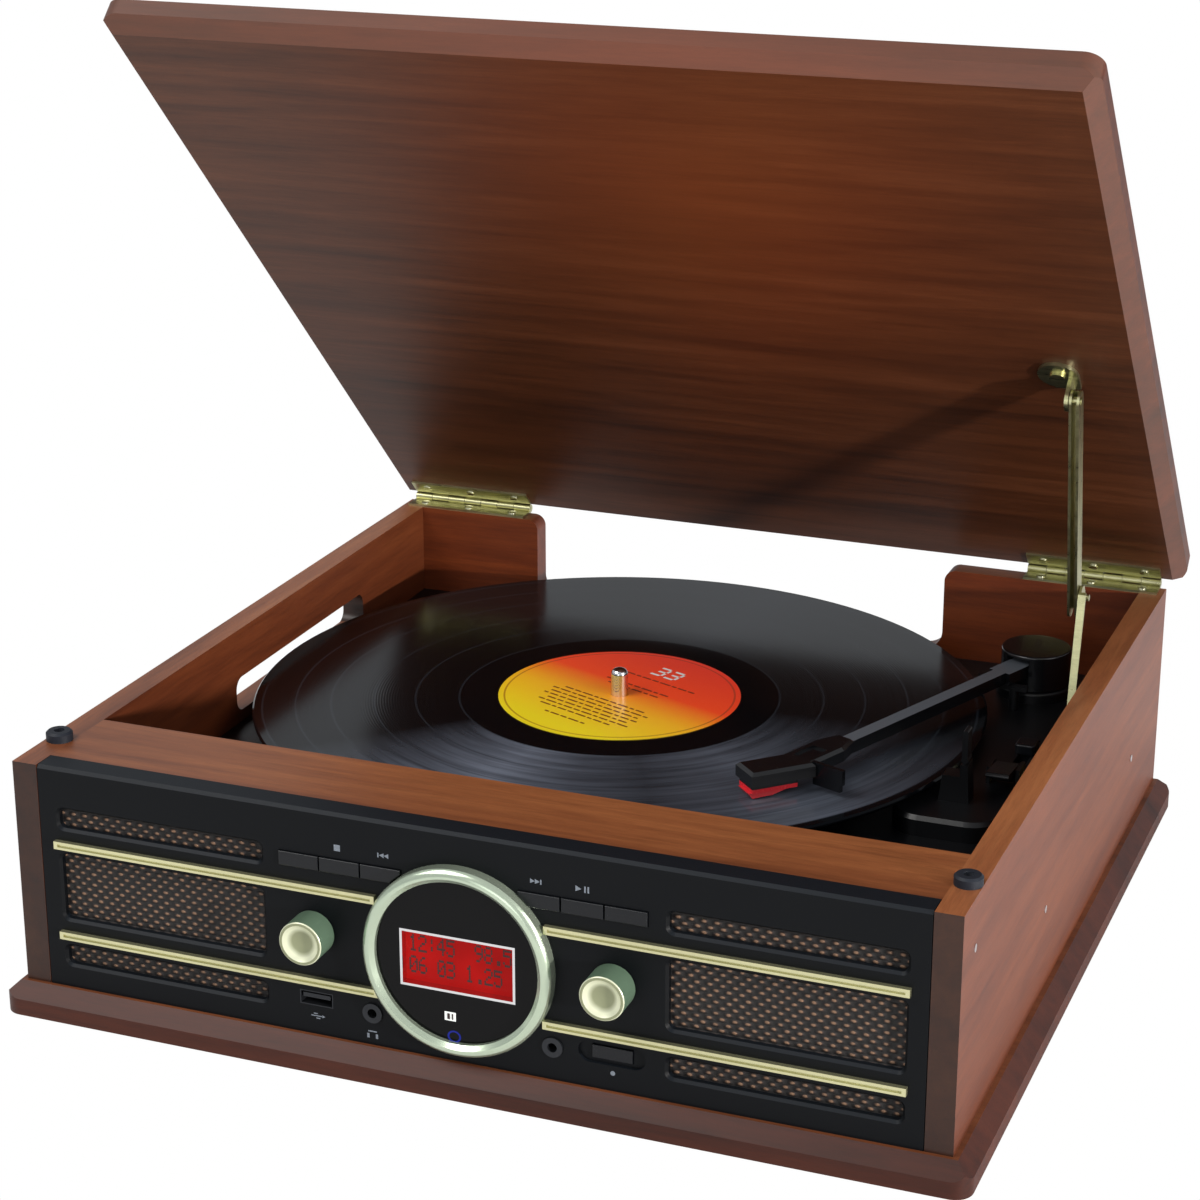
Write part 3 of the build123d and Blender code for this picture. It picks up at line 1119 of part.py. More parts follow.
# Cue lever, cue bar and speed lever
with BuildPart() as cue_lever:
    with BuildSketch(Plane.YZ.offset(CUE_LEVER_X - CUE_LEVER_WIDTH / 2)):
        with BuildLine():
            Polyline(
                (CUE_LEVER_Y + 3, PLINTH_TOP_Z + 1.0),
                (CUE_LEVER_Y + 5, PLINTH_TOP_Z + 2.6),
                (CUE_LEVER_Y + 5, PLINTH_TOP_Z + 6.5),
                (CUE_LEVER_Y - 12, PLINTH_TOP_Z + 8.5),
                (CUE_LEVER_Y - 14, PLINTH_TOP_Z + 6.8),
                (CUE_LEVER_Y - 2, PLINTH_TOP_Z + 4.0),
                (CUE_LEVER_Y - 1, PLINTH_TOP_Z + 1.0),
                close=True,
            )
        make_face()
    extrude(amount=CUE_LEVER_WIDTH)
    fillet(cue_lever.edges().filter_by(Axis.X).sort_by(Axis.Y)[:2], CUE_LEVER_EDGE)
    with BuildSketch(Plane.YZ.offset(CUE_LEVER_X)):
        with Locations((CUE_LEVER_Y + CUE_PIN_BEHIND, PLINTH_TOP_Z + CUE_PIN_RISE)):
            Circle(CUE_PIN_RADIUS)
    extrude(amount=CUE_EARS / 2, both=True)
write_piece(cue_lever, "cue_lever")

CUE_TOP_Z = ARM_AXIS_Z - ARM_TUBE_HEIGHT / 2 - ARM_SEAT
with BuildPart() as cue_bar:
    with BuildSketch(Plane.XY.offset(CUE_TOP_Z - 2.0)):
        with Locations((ARM_X, ARM_Y)):
            Circle(CUE_RADIUS + CUE_BAR_WIDTH / 2)
            Circle(CUE_RADIUS - CUE_BAR_WIDTH / 2, mode=Mode.SUBTRACT)
        with BuildLine():
            Polyline(
                (ARM_X, ARM_Y),
                (ARM_X + 4, ARM_Y - 2 * CUE_RADIUS),
                (ARM_X - 2 * CUE_RADIUS, ARM_Y - 1.5 * CUE_RADIUS),
                close=True,
            )
        make_face(mode=Mode.INTERSECT)
    extrude(amount=2.0)
    with BuildSketch(Plane.XY.offset(DECK_TOP_Z + CUE_STEM_GAP)):
        with Locations((CUE_STEM_X, CUE_STEM_Y)):
            Circle(2.0)
    extrude(amount=CUE_TOP_Z - 1.0 - DECK_TOP_Z - CUE_STEM_GAP)
write_piece(cue_bar, "cue_bar")

with BuildPart() as speed_lever:
    with BuildSketch(Plane.XY.offset(PLINTH_TOP_Z + LEVER_GAP)):
        with Locations((SPEED_LEVER_X, SPEED_LEVER_Y)):
            RectangleRounded(SPEED_CAP_WIDTH, SPEED_CAP_LENGTH, SPEED_CAP_CORNER)
    extrude(amount=SPEED_CAP_HEIGHT)
    fillet(speed_lever.faces().sort_by(Axis.Z)[-1].edges(), SPEED_CAP_EDGE)
    with BuildSketch(Plane.XY.offset(PLINTH_TOP_Z + SPEED_TONGUE_START)):
        with Locations((SPEED_LEVER_X, SPEED_LEVER_Y)):
            Rectangle(SPEED_TONGUE_WIDTH, SPEED_TONGUE_LENGTH)
    extrude(amount=-SPEED_TONGUE_DEPTH)
write_piece(speed_lever, "speed_lever")

# Turret: turns on the column and is slotted for the arm
ARM_SIN = sin(radians(ARM_HEADING))
ARM_COS = cos(radians(ARM_HEADING))
ARM_PLANE = Plane(origin=(ARM_X, ARM_Y, ARM_AXIS_Z), x_dir=(-ARM_SIN, -ARM_COS, 0), z_dir=(0, 0, 1))
HEAD_PLANE = Plane(ARM_PLANE.location * Location((HEAD_BEND, 0, 0), (0, 0, -HEAD_OFFSET)))

with BuildPart() as arm_turret:
    with BuildSketch(ARM_PLANE.offset(TURRET_LOW_Z - ARM_AXIS_Z)):
        Circle(TURRET_RADIUS)
    extrude(amount=TURRET_HIGH_Z - TURRET_LOW_Z)
    fillet(arm_turret.faces().sort_by(Axis.Z)[-1].edges(), 1.0)
    with BuildSketch(ARM_PLANE.offset(TURRET_LOW_Z - ARM_AXIS_Z)):
        Circle(TURRET_POST_RADIUS + RUNNING_FIT)
    extrude(amount=TURRET_POST_RISE + TURRET_GAP, mode=Mode.SUBTRACT)
    with BuildSketch(ARM_PLANE.offset(-ARM_TUBE_HEIGHT / 2 - ARM_TUBE_PLAY)):
        with Locations((TURRET_RADIUS - TURRET_MOUTH_SHIFT, 0)):
            Rectangle(2 * TURRET_RADIUS, ARM_BLOCK_WIDTH + ARM_BLOCK_PLAY)
    mouth_height = TURRET_HIGH_Z - TURRET_CAP - ARM_AXIS_Z + ARM_TUBE_HEIGHT / 2 + ARM_TUBE_PLAY
    extrude(amount=mouth_height, mode=Mode.SUBTRACT)
    with BuildSketch(Plane(origin=ARM_PLANE.origin, x_dir=ARM_PLANE.x_dir, z_dir=ARM_PLANE.y_dir)):
        Circle(GIMBAL_BORE)
    extrude(amount=TURRET_RADIUS - 1, both=True, mode=Mode.SUBTRACT)
write_piece(arm_turret, "arm_turret")

# Arm tube: a square-shouldered block in the turret, then a flat-topped tube
with BuildPart() as arm_tube:
    with BuildSketch(ARM_PLANE.offset(-ARM_TUBE_HEIGHT / 2)):
        with Locations((ARM_BLOCK_LENGTH / 2 - ARM_BLOCK_REAR, 0)):
            Rectangle(ARM_BLOCK_LENGTH, ARM_BLOCK_WIDTH)
    extrude(amount=ARM_TUBE_HEIGHT)
    with BuildSketch(ARM_PLANE.offset(-ARM_TUBE_HEIGHT / 2)):
        with Locations(((ARM_TUBE_END + ARM_BLOCK_LENGTH - ARM_BLOCK_REAR - 1) / 2, 0)):
            Rectangle(ARM_TUBE_END - ARM_BLOCK_LENGTH + ARM_BLOCK_REAR + 1, ARM_TUBE_WIDTH)
    extrude(amount=ARM_TUBE_HEIGHT)
    with BuildSketch(Plane(origin=ARM_PLANE.origin, x_dir=ARM_PLANE.x_dir, z_dir=ARM_PLANE.y_dir)):
        Circle(GIMBAL_PIN_RADIUS)
    extrude(amount=TURRET_RADIUS - GIMBAL_PIN_INSET, both=True)
write_piece(arm_tube, "arm_tube")

# Headshell: widens from the tube, bends towards the record's centre
with BuildPart() as headshell:
    with BuildSketch(ARM_PLANE.offset(HEAD_LOW_Z - ARM_AXIS_Z)):
        with BuildLine():
            Polyline(
                (ARM_TUBE_END, -ARM_TUBE_WIDTH / 2 - HEAD_COLLAR),
                (ARM_TUBE_END, ARM_TUBE_WIDTH / 2 + HEAD_COLLAR),
                (ARM_TUBE_END + HEAD_COLLAR_LENGTH, HEAD_WIDTH / 2),
                (HEAD_BEND, HEAD_WIDTH / 2),
                (HEAD_BEND + HEAD_NOSE, 0),
                (HEAD_BEND, -HEAD_WIDTH / 2),
                (ARM_TUBE_END + HEAD_COLLAR_LENGTH, -HEAD_WIDTH / 2),
                close=True,
            )
        make_face()
    extrude(amount=HEAD_HIGH_Z - HEAD_LOW_Z)
    with BuildSketch(HEAD_PLANE.offset(HEAD_LOW_Z - ARM_AXIS_Z)):
        with Locations((HEAD_LENGTH / 2 - HEAD_OVERLAP / 2, 0)):
            Rectangle(HEAD_LENGTH + HEAD_OVERLAP, HEAD_WIDTH)
    extrude(amount=HEAD_HIGH_Z - HEAD_LOW_Z)
    head_top = headshell.faces().sort_by(Axis.Z)[-1]
    chamfer(head_top.edges(), HEAD_EDGE)
    with BuildSketch(ARM_PLANE.offset(HEAD_HIGH_Z - ARM_AXIS_Z)):
        with Locations((HEAD_BEND - HEAD_POCKET_BACK, 0)):
            Rectangle(HEAD_POCKET_LENGTH, HEAD_POCKET_WIDTH)
    extrude(amount=-HEAD_POCKET_DEPTH, mode=Mode.SUBTRACT)
    with BuildSketch(ARM_PLANE.offset(-ARM_TUBE_HEIGHT / 2 + 0.5)):
        with Locations((HEAD_BEND - 4, HEAD_WIDTH / 2 + 6.5)):
            Rectangle(1.8, 15)
    extrude(amount=6.0)
    with BuildSketch(ARM_PLANE.offset(-ARM_TUBE_HEIGHT / 2 - 2.5)):
        with Locations((HEAD_BEND - 4, HEAD_WIDTH / 2 + 6.5)):
            Rectangle(1.8, 13)
    extrude(amount=8.0)
    with BuildSketch(ARM_PLANE.offset(-ARM_TUBE_HEIGHT / 2 - FIT)):
        with Locations((ARM_TUBE_END, 0)):
            Rectangle(2 * FIT, ARM_TUBE_WIDTH)
    extrude(amount=FIT, mode=Mode.SUBTRACT)
write_piece(headshell, "headshell")

# Cartridge and its coloured stylus block
CARTRIDGE_LOW_Z = 84.6
with BuildPart() as cartridge:
    with BuildSketch(HEAD_PLANE.offset(HEAD_LOW_Z - ARM_AXIS_Z)):
        with Locations((HEAD_LENGTH / 2, 0)):
            Rectangle(HEAD_LENGTH - 2, HEAD_WIDTH - 3)
    extrude(amount=CARTRIDGE_LOW_Z - HEAD_LOW_Z)
write_piece(cartridge, "cartridge")

STYLUS_PLANE = Plane(
    origin=HEAD_PLANE.origin, x_dir=HEAD_PLANE.x_dir, z_dir=-HEAD_PLANE.y_dir
)
with BuildPart() as stylus:
    with BuildSketch(STYLUS_PLANE.offset(-4.5)):
        with BuildLine():
            Polyline(
                (3.0, CARTRIDGE_LOW_Z - ARM_AXIS_Z),
                (HEAD_LENGTH, CARTRIDGE_LOW_Z - ARM_AXIS_Z),
                (HEAD_LENGTH - 1.5, CARTRIDGE_LOW_Z - ARM_AXIS_Z - 2.2),
                (HEAD_LENGTH - 10, CARTRIDGE_LOW_Z - ARM_AXIS_Z - 2.0),
                close=True,
            )
        make_face()
    extrude(amount=9)
    with BuildSketch(HEAD_PLANE.offset(CARTRIDGE_LOW_Z - 1.0 - ARM_AXIS_Z)):
        with Locations((HEAD_LENGTH - 5, 0)):
            Circle(0.5)
    extrude(amount=-(CARTRIDGE_LOW_Z - 1.0 - RECORD_TOP_Z - 0.3), taper=10)
write_piece(stylus, "stylus")

# Lid, set open about the hinge line
LID_PLANE = Plane(
    origin=(0, HINGE_Y, HINGE_Z),
    x_dir=(1, 0, 0),
    z_dir=(0, sin(radians(LID_OPEN_ANGLE)), cos(radians(LID_OPEN_ANGLE))),
)
LID_FACE = LID_PLANE.offset(LID_GAP / 2)
lid_board = edged_board(LID_FACE, BOARD_CENTRE_Y - HINGE_Y, False)
write_piece(lid_board, "lid_board")

# Butt hinges: knuckles alternate between the cabinet leaf and the lid leaf
KNUCKLE_PITCH = HINGE_LENGTH / KNUCKLES
CABINET_PLANE = Plane(origin=(0, HINGE_Y, HINGE_Z), x_dir=(1, 0, 0), z_dir=(0, 0, 1))


def hinge_leaf(plane, face_offset, first_knuckle, pin):
    """Both leaves of one kind: a plate, its knuckles and, on one kind, the pin."""
    with BuildPart() as leaf:
        for side in (-1, 1):
            start_x = side * HINGE_X - HINGE_LENGTH / 2
            with BuildSketch(plane.offset(face_offset)):
                with Locations((side * HINGE_X, -LEAF_WIDTH / 2 - KNUCKLE_RADIUS - LEAF_CLEARANCE)):
                    Rectangle(HINGE_LENGTH, LEAF_WIDTH)
                for number in range(first_knuckle, KNUCKLES, 2):
                    knuckle_x = start_x + (number + 0.5) * KNUCKLE_PITCH
                    with Locations((knuckle_x, -KNUCKLE_RADIUS / 2 - LEAF_CLEARANCE)):
                        Rectangle(KNUCKLE_PITCH - LEAF_KNUCKLE_GAP, KNUCKLE_RADIUS + KNUCKLE_WEB)
                with Locations((side * HINGE_X, -LEAF_WIDTH / 2 - KNUCKLE_RADIUS - LEAF_CLEARANCE)):
                    with GridLocations(LEAF_SCREW_PITCH, 1, 3, 1):
                        Circle(LEAF_SCREW_RADIUS - LEAF_SCREW_SHANK, mode=Mode.SUBTRACT)
            extrude(amount=LEAF)
            for number in range(first_knuckle, KNUCKLES, 2):
                knuckle_x = start_x + number * KNUCKLE_PITCH + LEAF_KNUCKLE_GAP / 2
                with BuildSketch(Plane.YZ.offset(knuckle_x)):
                    with Locations((HINGE_Y, HINGE_Z)):
                        Circle(KNUCKLE_RADIUS)
                extrude(amount=KNUCKLE_PITCH - LEAF_KNUCKLE_GAP)
            with BuildSketch(Plane.YZ.offset(start_x)):
                with Locations((HINGE_Y, HINGE_Z)):
                    Circle(HINGE_PIN_RADIUS + (0 if pin else RUNNING_FIT))
            extrude(amount=HINGE_LENGTH, mode=Mode.ADD if pin else Mode.SUBTRACT)
    return leaf


hinge_cabinet_leaves = hinge_leaf(CABINET_PLANE, -LID_GAP / 2, 0, True)
write_piece(hinge_cabinet_leaves, "hinge_cabinet_leaves")
hinge_lid_leaves = hinge_leaf(LID_PLANE, LID_GAP / 2 - LEAF, 1, False)
write_piece(hinge_lid_leaves, "hinge_lid_leaves")

# Bumpers on the side panels, each with a screw hole
BUMPER_X = (OUTER_X + INNER_X) / 2
with BuildPart() as lid_bumpers:
    with BuildSketch(Plane.XY.offset(TOP)):
        with Locations((-BUMPER_X, BUMPER_Y), (BUMPER_X, BUMPER_Y)):
            Circle(BUMPER_RADIUS)
    extrude(amount=BUMPER_HEIGHT)
    chamfer(lid_bumpers.faces().filter_by(Axis.Z).group_by(Axis.Z)[-1].edges(), BUMPER_BEVEL)
    with BuildSketch(Plane.XY.offset(TOP + BUMPER_HEIGHT)):
        with Locations((-BUMPER_X, BUMPER_Y), (BUMPER_X, BUMPER_Y)):
            Circle(2.0)
    extrude(amount=-BUMPER_HEIGHT + 1.0, mode=Mode.SUBTRACT)
write_piece(lid_bumpers, "lid_bumpers")

# Screws and pins: bumper screws, cabinet hinge screws and side panel pins
PANEL_PIN_RADIUS = 1.5
PANEL_PIN_PROUD = 0.4
PANEL_PINS = ((112.2, 52.9), (-45.9, 54.2), (-156.2, 89.4))
LEAF_MIDDLE_Y = HINGE_Y - LEAF_WIDTH / 2 - KNUCKLE_RADIUS - LEAF_CLEARANCE
with BuildPart() as cabinet_screws:
    with BuildSketch(Plane.XY.offset(TOP + 1.0)):
        with Locations((-BUMPER_X, BUMPER_Y), (BUMPER_X, BUMPER_Y)):
            Circle(1.9)
    extrude(amount=1.2)
    with BuildSketch(Plane.XY.offset(TOP + LEAF)):
        with Locations((-HINGE_X, LEAF_MIDDLE_Y), (HINGE_X, LEAF_MIDDLE_Y)):
            with GridLocations(LEAF_SCREW_PITCH, 1, 3, 1):
                Circle(LEAF_SCREW_RADIUS)
    extrude(amount=LEAF_SCREW_HEAD)
    for side in (-1, 1):
        for pin_y, pin_z in PANEL_PINS:
            with BuildSketch(Plane.YZ.offset(side * OUTER_X)):
                with Locations((pin_y, pin_z)):
                    Circle(PANEL_PIN_RADIUS)
            extrude(amount=side * PANEL_PIN_PROUD)
write_piece(cabinet_screws, "cabinet_screws")

with BuildPart() as lid_screws:
    with BuildSketch(LID_FACE.offset(-LEAF)):
        with Locations((-HINGE_X, LEAF_MIDDLE_Y - HINGE_Y), (HINGE_X, LEAF_MIDDLE_Y - HINGE_Y)):
            with GridLocations(LEAF_SCREW_PITCH, 1, 3, 1):
                Circle(LEAF_SCREW_RADIUS)
    extrude(amount=-LEAF_SCREW_HEAD)
write_piece(lid_screws, "lid_screws")

# Stay: lid bracket, two channel arms and the foot plate
STAY_LID_PLANE = Plane(
    origin=LID_PLANE.from_local_coords(Vector(STAY_X, -STAY_LID_REACH, -STAY_LID_DROP)),
    x_dir=(1, 0, 0),
    z_dir=LID_PLANE.z_dir,
)
BRACKET_X = -8.0
BRACKET_DROP = STAY_LID_DROP + LID_GAP / 2
BRACKET_TAB_X = UPPER_ARM_DEPTH / 2 + 0.3
with BuildPart() as stay_lid_bracket:
    with BuildSketch(STAY_LID_PLANE.offset(BRACKET_DROP)):
        with Locations((BRACKET_X, -BRACKET_SHIFT)):
            Circle(BRACKET_DISC_RADIUS)
        with Locations((BRACKET_X / 2 - 1, 0)):
            Rectangle(-BRACKET_X + 2, BRACKET_TAB_WIDTH)
    extrude(amount=-BRACKET_METAL)
    with BuildSketch(Plane(origin=STAY_LID_PLANE.origin, x_dir=STAY_LID_PLANE.y_dir, z_dir=(1, 0, 0)).offset(
            -BRACKET_TAB_X - BRACKET_METAL)):
        with Locations((0, BRACKET_DROP / 2)):
            Rectangle(BRACKET_TAB_WIDTH, BRACKET_DROP)
        Circle(BRACKET_TAB_WIDTH / 2)
    extrude(amount=BRACKET_METAL)
    with BuildSketch(Plane(origin=STAY_LID_PLANE.origin, x_dir=STAY_LID_PLANE.y_dir, z_dir=(1, 0, 0))):
        Circle(STAY_PIN_RADIUS)
    extrude(amount=UPPER_ARM_DEPTH / 2 + STAY_PLAY)
    with BuildSketch(Plane(origin=STAY_LID_PLANE.origin, x_dir=STAY_LID_PLANE.y_dir, z_dir=(1, 0, 0))):
        Circle(STAY_PIN_RADIUS)
    extrude(amount=-BRACKET_TAB_X)
    with BuildSketch(STAY_LID_PLANE.offset(BRACKET_DROP - BRACKET_METAL)):
        with Locations((BRACKET_X, -BRACKET_SHIFT)):
            Circle(BRACKET_SCREW_RADIUS)
    extrude(amount=-1.2)
write_piece(stay_lid_bracket, "stay_lid_bracket")


def arm_plane(origin, angle):
    """Plane of a stay arm: local X along the arm, local Z across the cabinet."""
    along = (0, cos(radians(angle)), sin(radians(angle)))
    return Plane(origin=origin, x_dir=along, z_dir=(1, 0, 0))


UPPER_PLANE = arm_plane(STAY_LID_PLANE.origin, UPPER_ARM_ANGLE)
with BuildPart() as stay_upper_arm:
    with BuildSketch(UPPER_PLANE.offset(-UPPER_ARM_DEPTH / 2)):
        with Locations(((UPPER_ARM_LENGTH + UPPER_ARM_TAIL) / 2, 0)):
            SlotCenterToCenter(UPPER_ARM_LENGTH + UPPER_ARM_TAIL, STAY_WIDTH)
    extrude(amount=UPPER_ARM_DEPTH)
    with BuildSketch(UPPER_PLANE.offset(UPPER_ARM_DEPTH / 2 - STAY_METAL)):
        with Locations((UPPER_ARM_LENGTH / 2, -STAY_METAL)):
            Rectangle(UPPER_ARM_LENGTH + 3 * STAY_WIDTH, STAY_WIDTH)
    extrude(amount=-UPPER_ARM_DEPTH + 2 * STAY_METAL, mode=Mode.SUBTRACT)
    with BuildSketch(UPPER_PLANE.offset(-UPPER_ARM_DEPTH / 2)):
        Circle(STAY_PIN_RADIUS + RUNNING_FIT)
    extrude(amount=UPPER_ARM_DEPTH, mode=Mode.SUBTRACT)
    with BuildSketch(UPPER_PLANE.offset(UPPER_ARM_DEPTH / 2)):
        with Locations((UPPER_ARM_LENGTH, 0)):
            Circle(STUD_RADIUS)
    extrude(amount=LOWER_ARM_DEPTH + 1.0)
write_piece(stay_upper_arm, "stay_upper_arm")

LOWER_PLANE = arm_plane(
    (STAY_X + UPPER_ARM_DEPTH / 2 + STAY_PLAY, STAY_FOOT_Y, STAY_FOOT_Z), LOWER_ARM_ANGLE
)
LOWER_ARM_WIDTH = STAY_WIDTH + 1.6
with BuildPart() as stay_lower_arm:
    with BuildSketch(LOWER_PLANE):
        with Locations((LOWER_ARM_LENGTH / 2, 0)):
            Rectangle(LOWER_ARM_LENGTH, LOWER_ARM_WIDTH)
        Circle(LOWER_ARM_WIDTH / 2)
    extrude(amount=LOWER_ARM_DEPTH)
    tip_edges = stay_lower_arm.edges().filter_by(Axis.X).sort_by(Axis.Z)[-2:]
    chamfer(tip_edges, LOWER_ARM_WIDTH / 3)
    with BuildSketch(LOWER_PLANE.offset(STAY_METAL)):
        with Locations((LOWER_ARM_LENGTH / 2, -STAY_METAL)):
            Rectangle(2 * LOWER_ARM_LENGTH, LOWER_ARM_WIDTH)
    extrude(amount=LOWER_ARM_DEPTH, mode=Mode.SUBTRACT)
    with BuildSketch(LOWER_PLANE):
        with Locations(((SLOT_NEAR + SLOT_FAR) / 2, SLOT_SHIFT)):
            SlotCenterToCenter(SLOT_FAR - SLOT_NEAR, 2 * (STUD_RADIUS + SLOT_CLEARANCE))
    extrude(amount=LOWER_ARM_DEPTH, mode=Mode.SUBTRACT)
    with BuildSketch(LOWER_PLANE):
        Circle(STAY_PIN_RADIUS + RUNNING_FIT)
    extrude(amount=LOWER_ARM_DEPTH, mode=Mode.SUBTRACT)
write_piece(stay_lower_arm, "stay_lower_arm")

FOOT_PLATE = 2.0
FOOT_PLANE = Plane(origin=(INNER_X, STAY_FOOT_Y, STAY_FOOT_Z), x_dir=(0, 1, 0), z_dir=(1, 0, 0))
with BuildPart() as stay_foot_plate:
    with BuildSketch(FOOT_PLANE.offset(-FOOT_PLATE)):
        with Locations((0, FOOT_PLATE_RISE)):
            RectangleRounded(FOOT_PLATE_WIDTH, FOOT_PLATE_LENGTH, FOOT_PLATE_CORNER)
    extrude(amount=FOOT_PLATE)
    with BuildSketch(FOOT_PLANE.offset(-FOOT_PLATE)):
        Circle(STAY_PIN_RADIUS)
    extrude(amount=-(INNER_X - FOOT_PLATE - STAY_X - UPPER_ARM_DEPTH / 2 - STAY_PLAY))
    with BuildSketch(FOOT_PLANE.offset(-FOOT_PLATE)):
        Circle(FOOT_BOSS_RADIUS)
    extrude(amount=-(INNER_X - FOOT_PLATE - STAY_X - UPPER_ARM_DEPTH / 2 - STAY_PLAY - LOWER_ARM_DEPTH - 0.2))
write_piece(stay_foot_plate, "stay_foot_plate")
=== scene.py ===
"""Looks of the record player: surfaces, small printed marks, soft light and the camera."""

import logging
import math
from collections.abc import Callable
from dataclasses import dataclass
from enum import Enum

import bmesh
import bpy
from mathutils import Matrix, Vector


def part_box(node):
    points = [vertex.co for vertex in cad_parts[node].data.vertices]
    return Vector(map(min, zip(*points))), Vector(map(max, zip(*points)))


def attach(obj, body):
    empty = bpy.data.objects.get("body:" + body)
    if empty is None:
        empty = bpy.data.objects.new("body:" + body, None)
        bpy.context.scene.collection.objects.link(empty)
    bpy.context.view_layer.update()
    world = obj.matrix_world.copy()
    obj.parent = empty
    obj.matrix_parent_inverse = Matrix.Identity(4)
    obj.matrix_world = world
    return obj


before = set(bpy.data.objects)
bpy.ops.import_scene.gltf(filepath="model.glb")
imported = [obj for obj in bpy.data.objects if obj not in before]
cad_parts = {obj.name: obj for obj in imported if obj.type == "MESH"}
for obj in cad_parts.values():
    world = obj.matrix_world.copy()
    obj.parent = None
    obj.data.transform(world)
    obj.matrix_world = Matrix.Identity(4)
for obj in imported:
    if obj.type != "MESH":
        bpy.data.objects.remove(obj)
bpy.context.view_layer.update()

logging.basicConfig(level=logging.INFO, format="%(message)s")
log = logging.getLogger("record_player")

MM = 0.001
FULL_TURN = 2 * math.pi

Point = tuple[float, float, float]
Colour = tuple[float, float, float, float]
Outline = list[tuple[float, float]]
Placing = Callable[..., Vector]
Socket = bpy.types.NodeSocket

UP: Point = (0.0, 0.0, 1.0)
SIDEWAYS: Point = (1.0, 0.0, 0.0)
FORWARD: Point = (0.0, -1.0, 0.0)
# The lid stands open, so its underside faces down and forward.
LID_OPEN_ANGLE = math.radians(45)
LID_UNDERSIDE: Point = (0.0, -math.sin(LID_OPEN_ANGLE), -math.cos(LID_OPEN_ANGLE))


def linear(hex_colour: str) -> Colour:
    """Turns an sRGB hex colour into linear values.

    Args:
        hex_colour: colour such as "#8a5230".

    Returns:
        Linear red, green, blue and an alpha of 1.
    """
    parts = [int(hex_colour[i : i + 2], 16) / 255 for i in (1, 3, 5)]
    values = [p / 12.92 if p <= 0.04045 else ((p + 0.055) / 1.055) ** 2.4 for p in parts]
    return (*values, 1.0)


def dimmed(colour: Colour, share: float) -> Colour:
    """A linear colour with its light cut to a share, alpha kept at 1."""
    return (*(part * share for part in colour[:3]), 1.0)


def join(tree: bpy.types.NodeTree, value, socket: Socket) -> None:
    """Links another node's output to a socket, or sets the socket to a plain value."""
    if isinstance(value, Socket):
        tree.links.new(value, socket)
    else:
        socket.default_value = value


def add_node(tree: bpy.types.NodeTree, kind: str, inputs: dict | None = None, **settings) -> bpy.types.Node:
    """Adds a node, sets its properties and joins or sets its inputs.

    Args:
        tree: node tree that gets the node.
        kind: node type name.
        inputs: socket name or number to a value or to another node's output.
        settings: node properties.

    Returns:
        The new node.
    """
    node = tree.nodes.new(kind)
    for key, value in settings.items():
        setattr(node, key, value)
    for key, value in (inputs or {}).items():
        join(tree, value, node.inputs[key])
    return node


class Grain(Enum):
    """Direction in which a wooden piece's grain runs, as pattern scales per metre."""

    ALONG_X = (1.6, 24.0, 24.0)
    ALONG_Y = (24.0, 1.6, 24.0)


@dataclass(frozen=True)
class WoodFinish:
    """Tones and sheen of one veneer. The edge and side tones multiply the main one: the side tone is
    painted light and shade, the edge tone partly real darker ends and partly painted light and shade.
    """

    dark: str
    middle: str
    light: str
    edge: str
    side: str
    roughness: float
    grain: Grain
    # Strength of a painted warm pool of light.
    glow: float = 0.0
    shine: float = 0.4
    # Share of a painted pale highlight on the edges.
    painted_edge_highlight_share: float = 0.0


@dataclass(frozen=True)
class WoodLight:
    """Painted warm pool of light on the lid, and the painted pale highlight on mitred edges."""

    centre: Point = (0.03, -0.02, 0.30)
    radius: float = 0.17
    fall: float = 1.3
    painted_light_colour: str = "#8a3c1c"
    painted_edge_highlight: str = "#94796c"


@dataclass(frozen=True)
class PlainFinish:
    """Colour, gloss and fine grit of a moulded, painted or metal piece."""

    colour: str
    roughness: float
    metallic: float = 0.0
    grit_mm: float = 0.6
    depth_mm: float = 0.02
    # Lighter colour painted on upward faces, where light falls from above.
    painted_top_light: str = ""
    coat: float = 0.0
    shine: float = 0.5
    front: str = ""
    rim: str = ""


@dataclass(frozen=True)
class VinylFinish:
    """Shine of the record's surface, its grooves, and the painted sheen on the sectors where they catch the
    light and on the gap rings.
    """

    dark: str = "#030405"
    bright: str = "#0a0c10"
    sheen: str = "#6d7482"
    # Painted sheen colour of the smooth gap rings between tracks.
    gap: str = "#2c3138"
    mirror: str = "#4c525a"
    shine: float = 0.30
    groove_mm: float = 0.006
    groove_pitch_mm: float = 1.1
    inner_mm: float = 66.0
    outer_mm: float = 146.5
    gaps_mm: tuple[float, ...] = (66.0, 84.0, 101.0, 118.5, 133.0, 146.5)
    gap_half_mm: float = 0.45
    # Each fan of painted sheen: heading in degrees, half width in degrees, strength.
    fans: tuple[tuple[float, float, float], ...] = (
        (-99.0, 36.0, 1.0),
        (-38.0, 42.0, 0.6),
        (82.0, 26.0, 0.10),
    )


@dataclass(frozen=True)
class LabelFinish:
    """Printed record label: colours along its fade and the ring near its rim."""

    fade: tuple[tuple[float, str], ...] = (
        (0.05, "#f4dc1e"),
        (0.38, "#fbb81e"),
        (0.62, "#fc4a14"),
        (1.0, "#f2340e"),
    )
    fade_x: float = 0.36
    fade_y: float = 0.93
    fade_per_metre: float = 11.0
    ring: str = "#8a2a10"
    ring_mm: float = 47.5
    ring_half_mm: float = 0.4


@dataclass(frozen=True)
class ClothFinish:
    """Weave of the loudspeaker cloth: tones and the pitch of its threads."""

    tones: tuple[tuple[float, str], ...] = ((0.25, "#080403"), (0.58, "#251610"), (0.88, "#765a45"))
    row_mm: float = 4.2
    column_mm: float = 4.6
    thread_depth_mm: float = 0.8


WOOD_LIGHT = WoodLight()
VINYL = VinylFinish()
LABEL = LabelFinish()
CLOTH = ClothFinish()


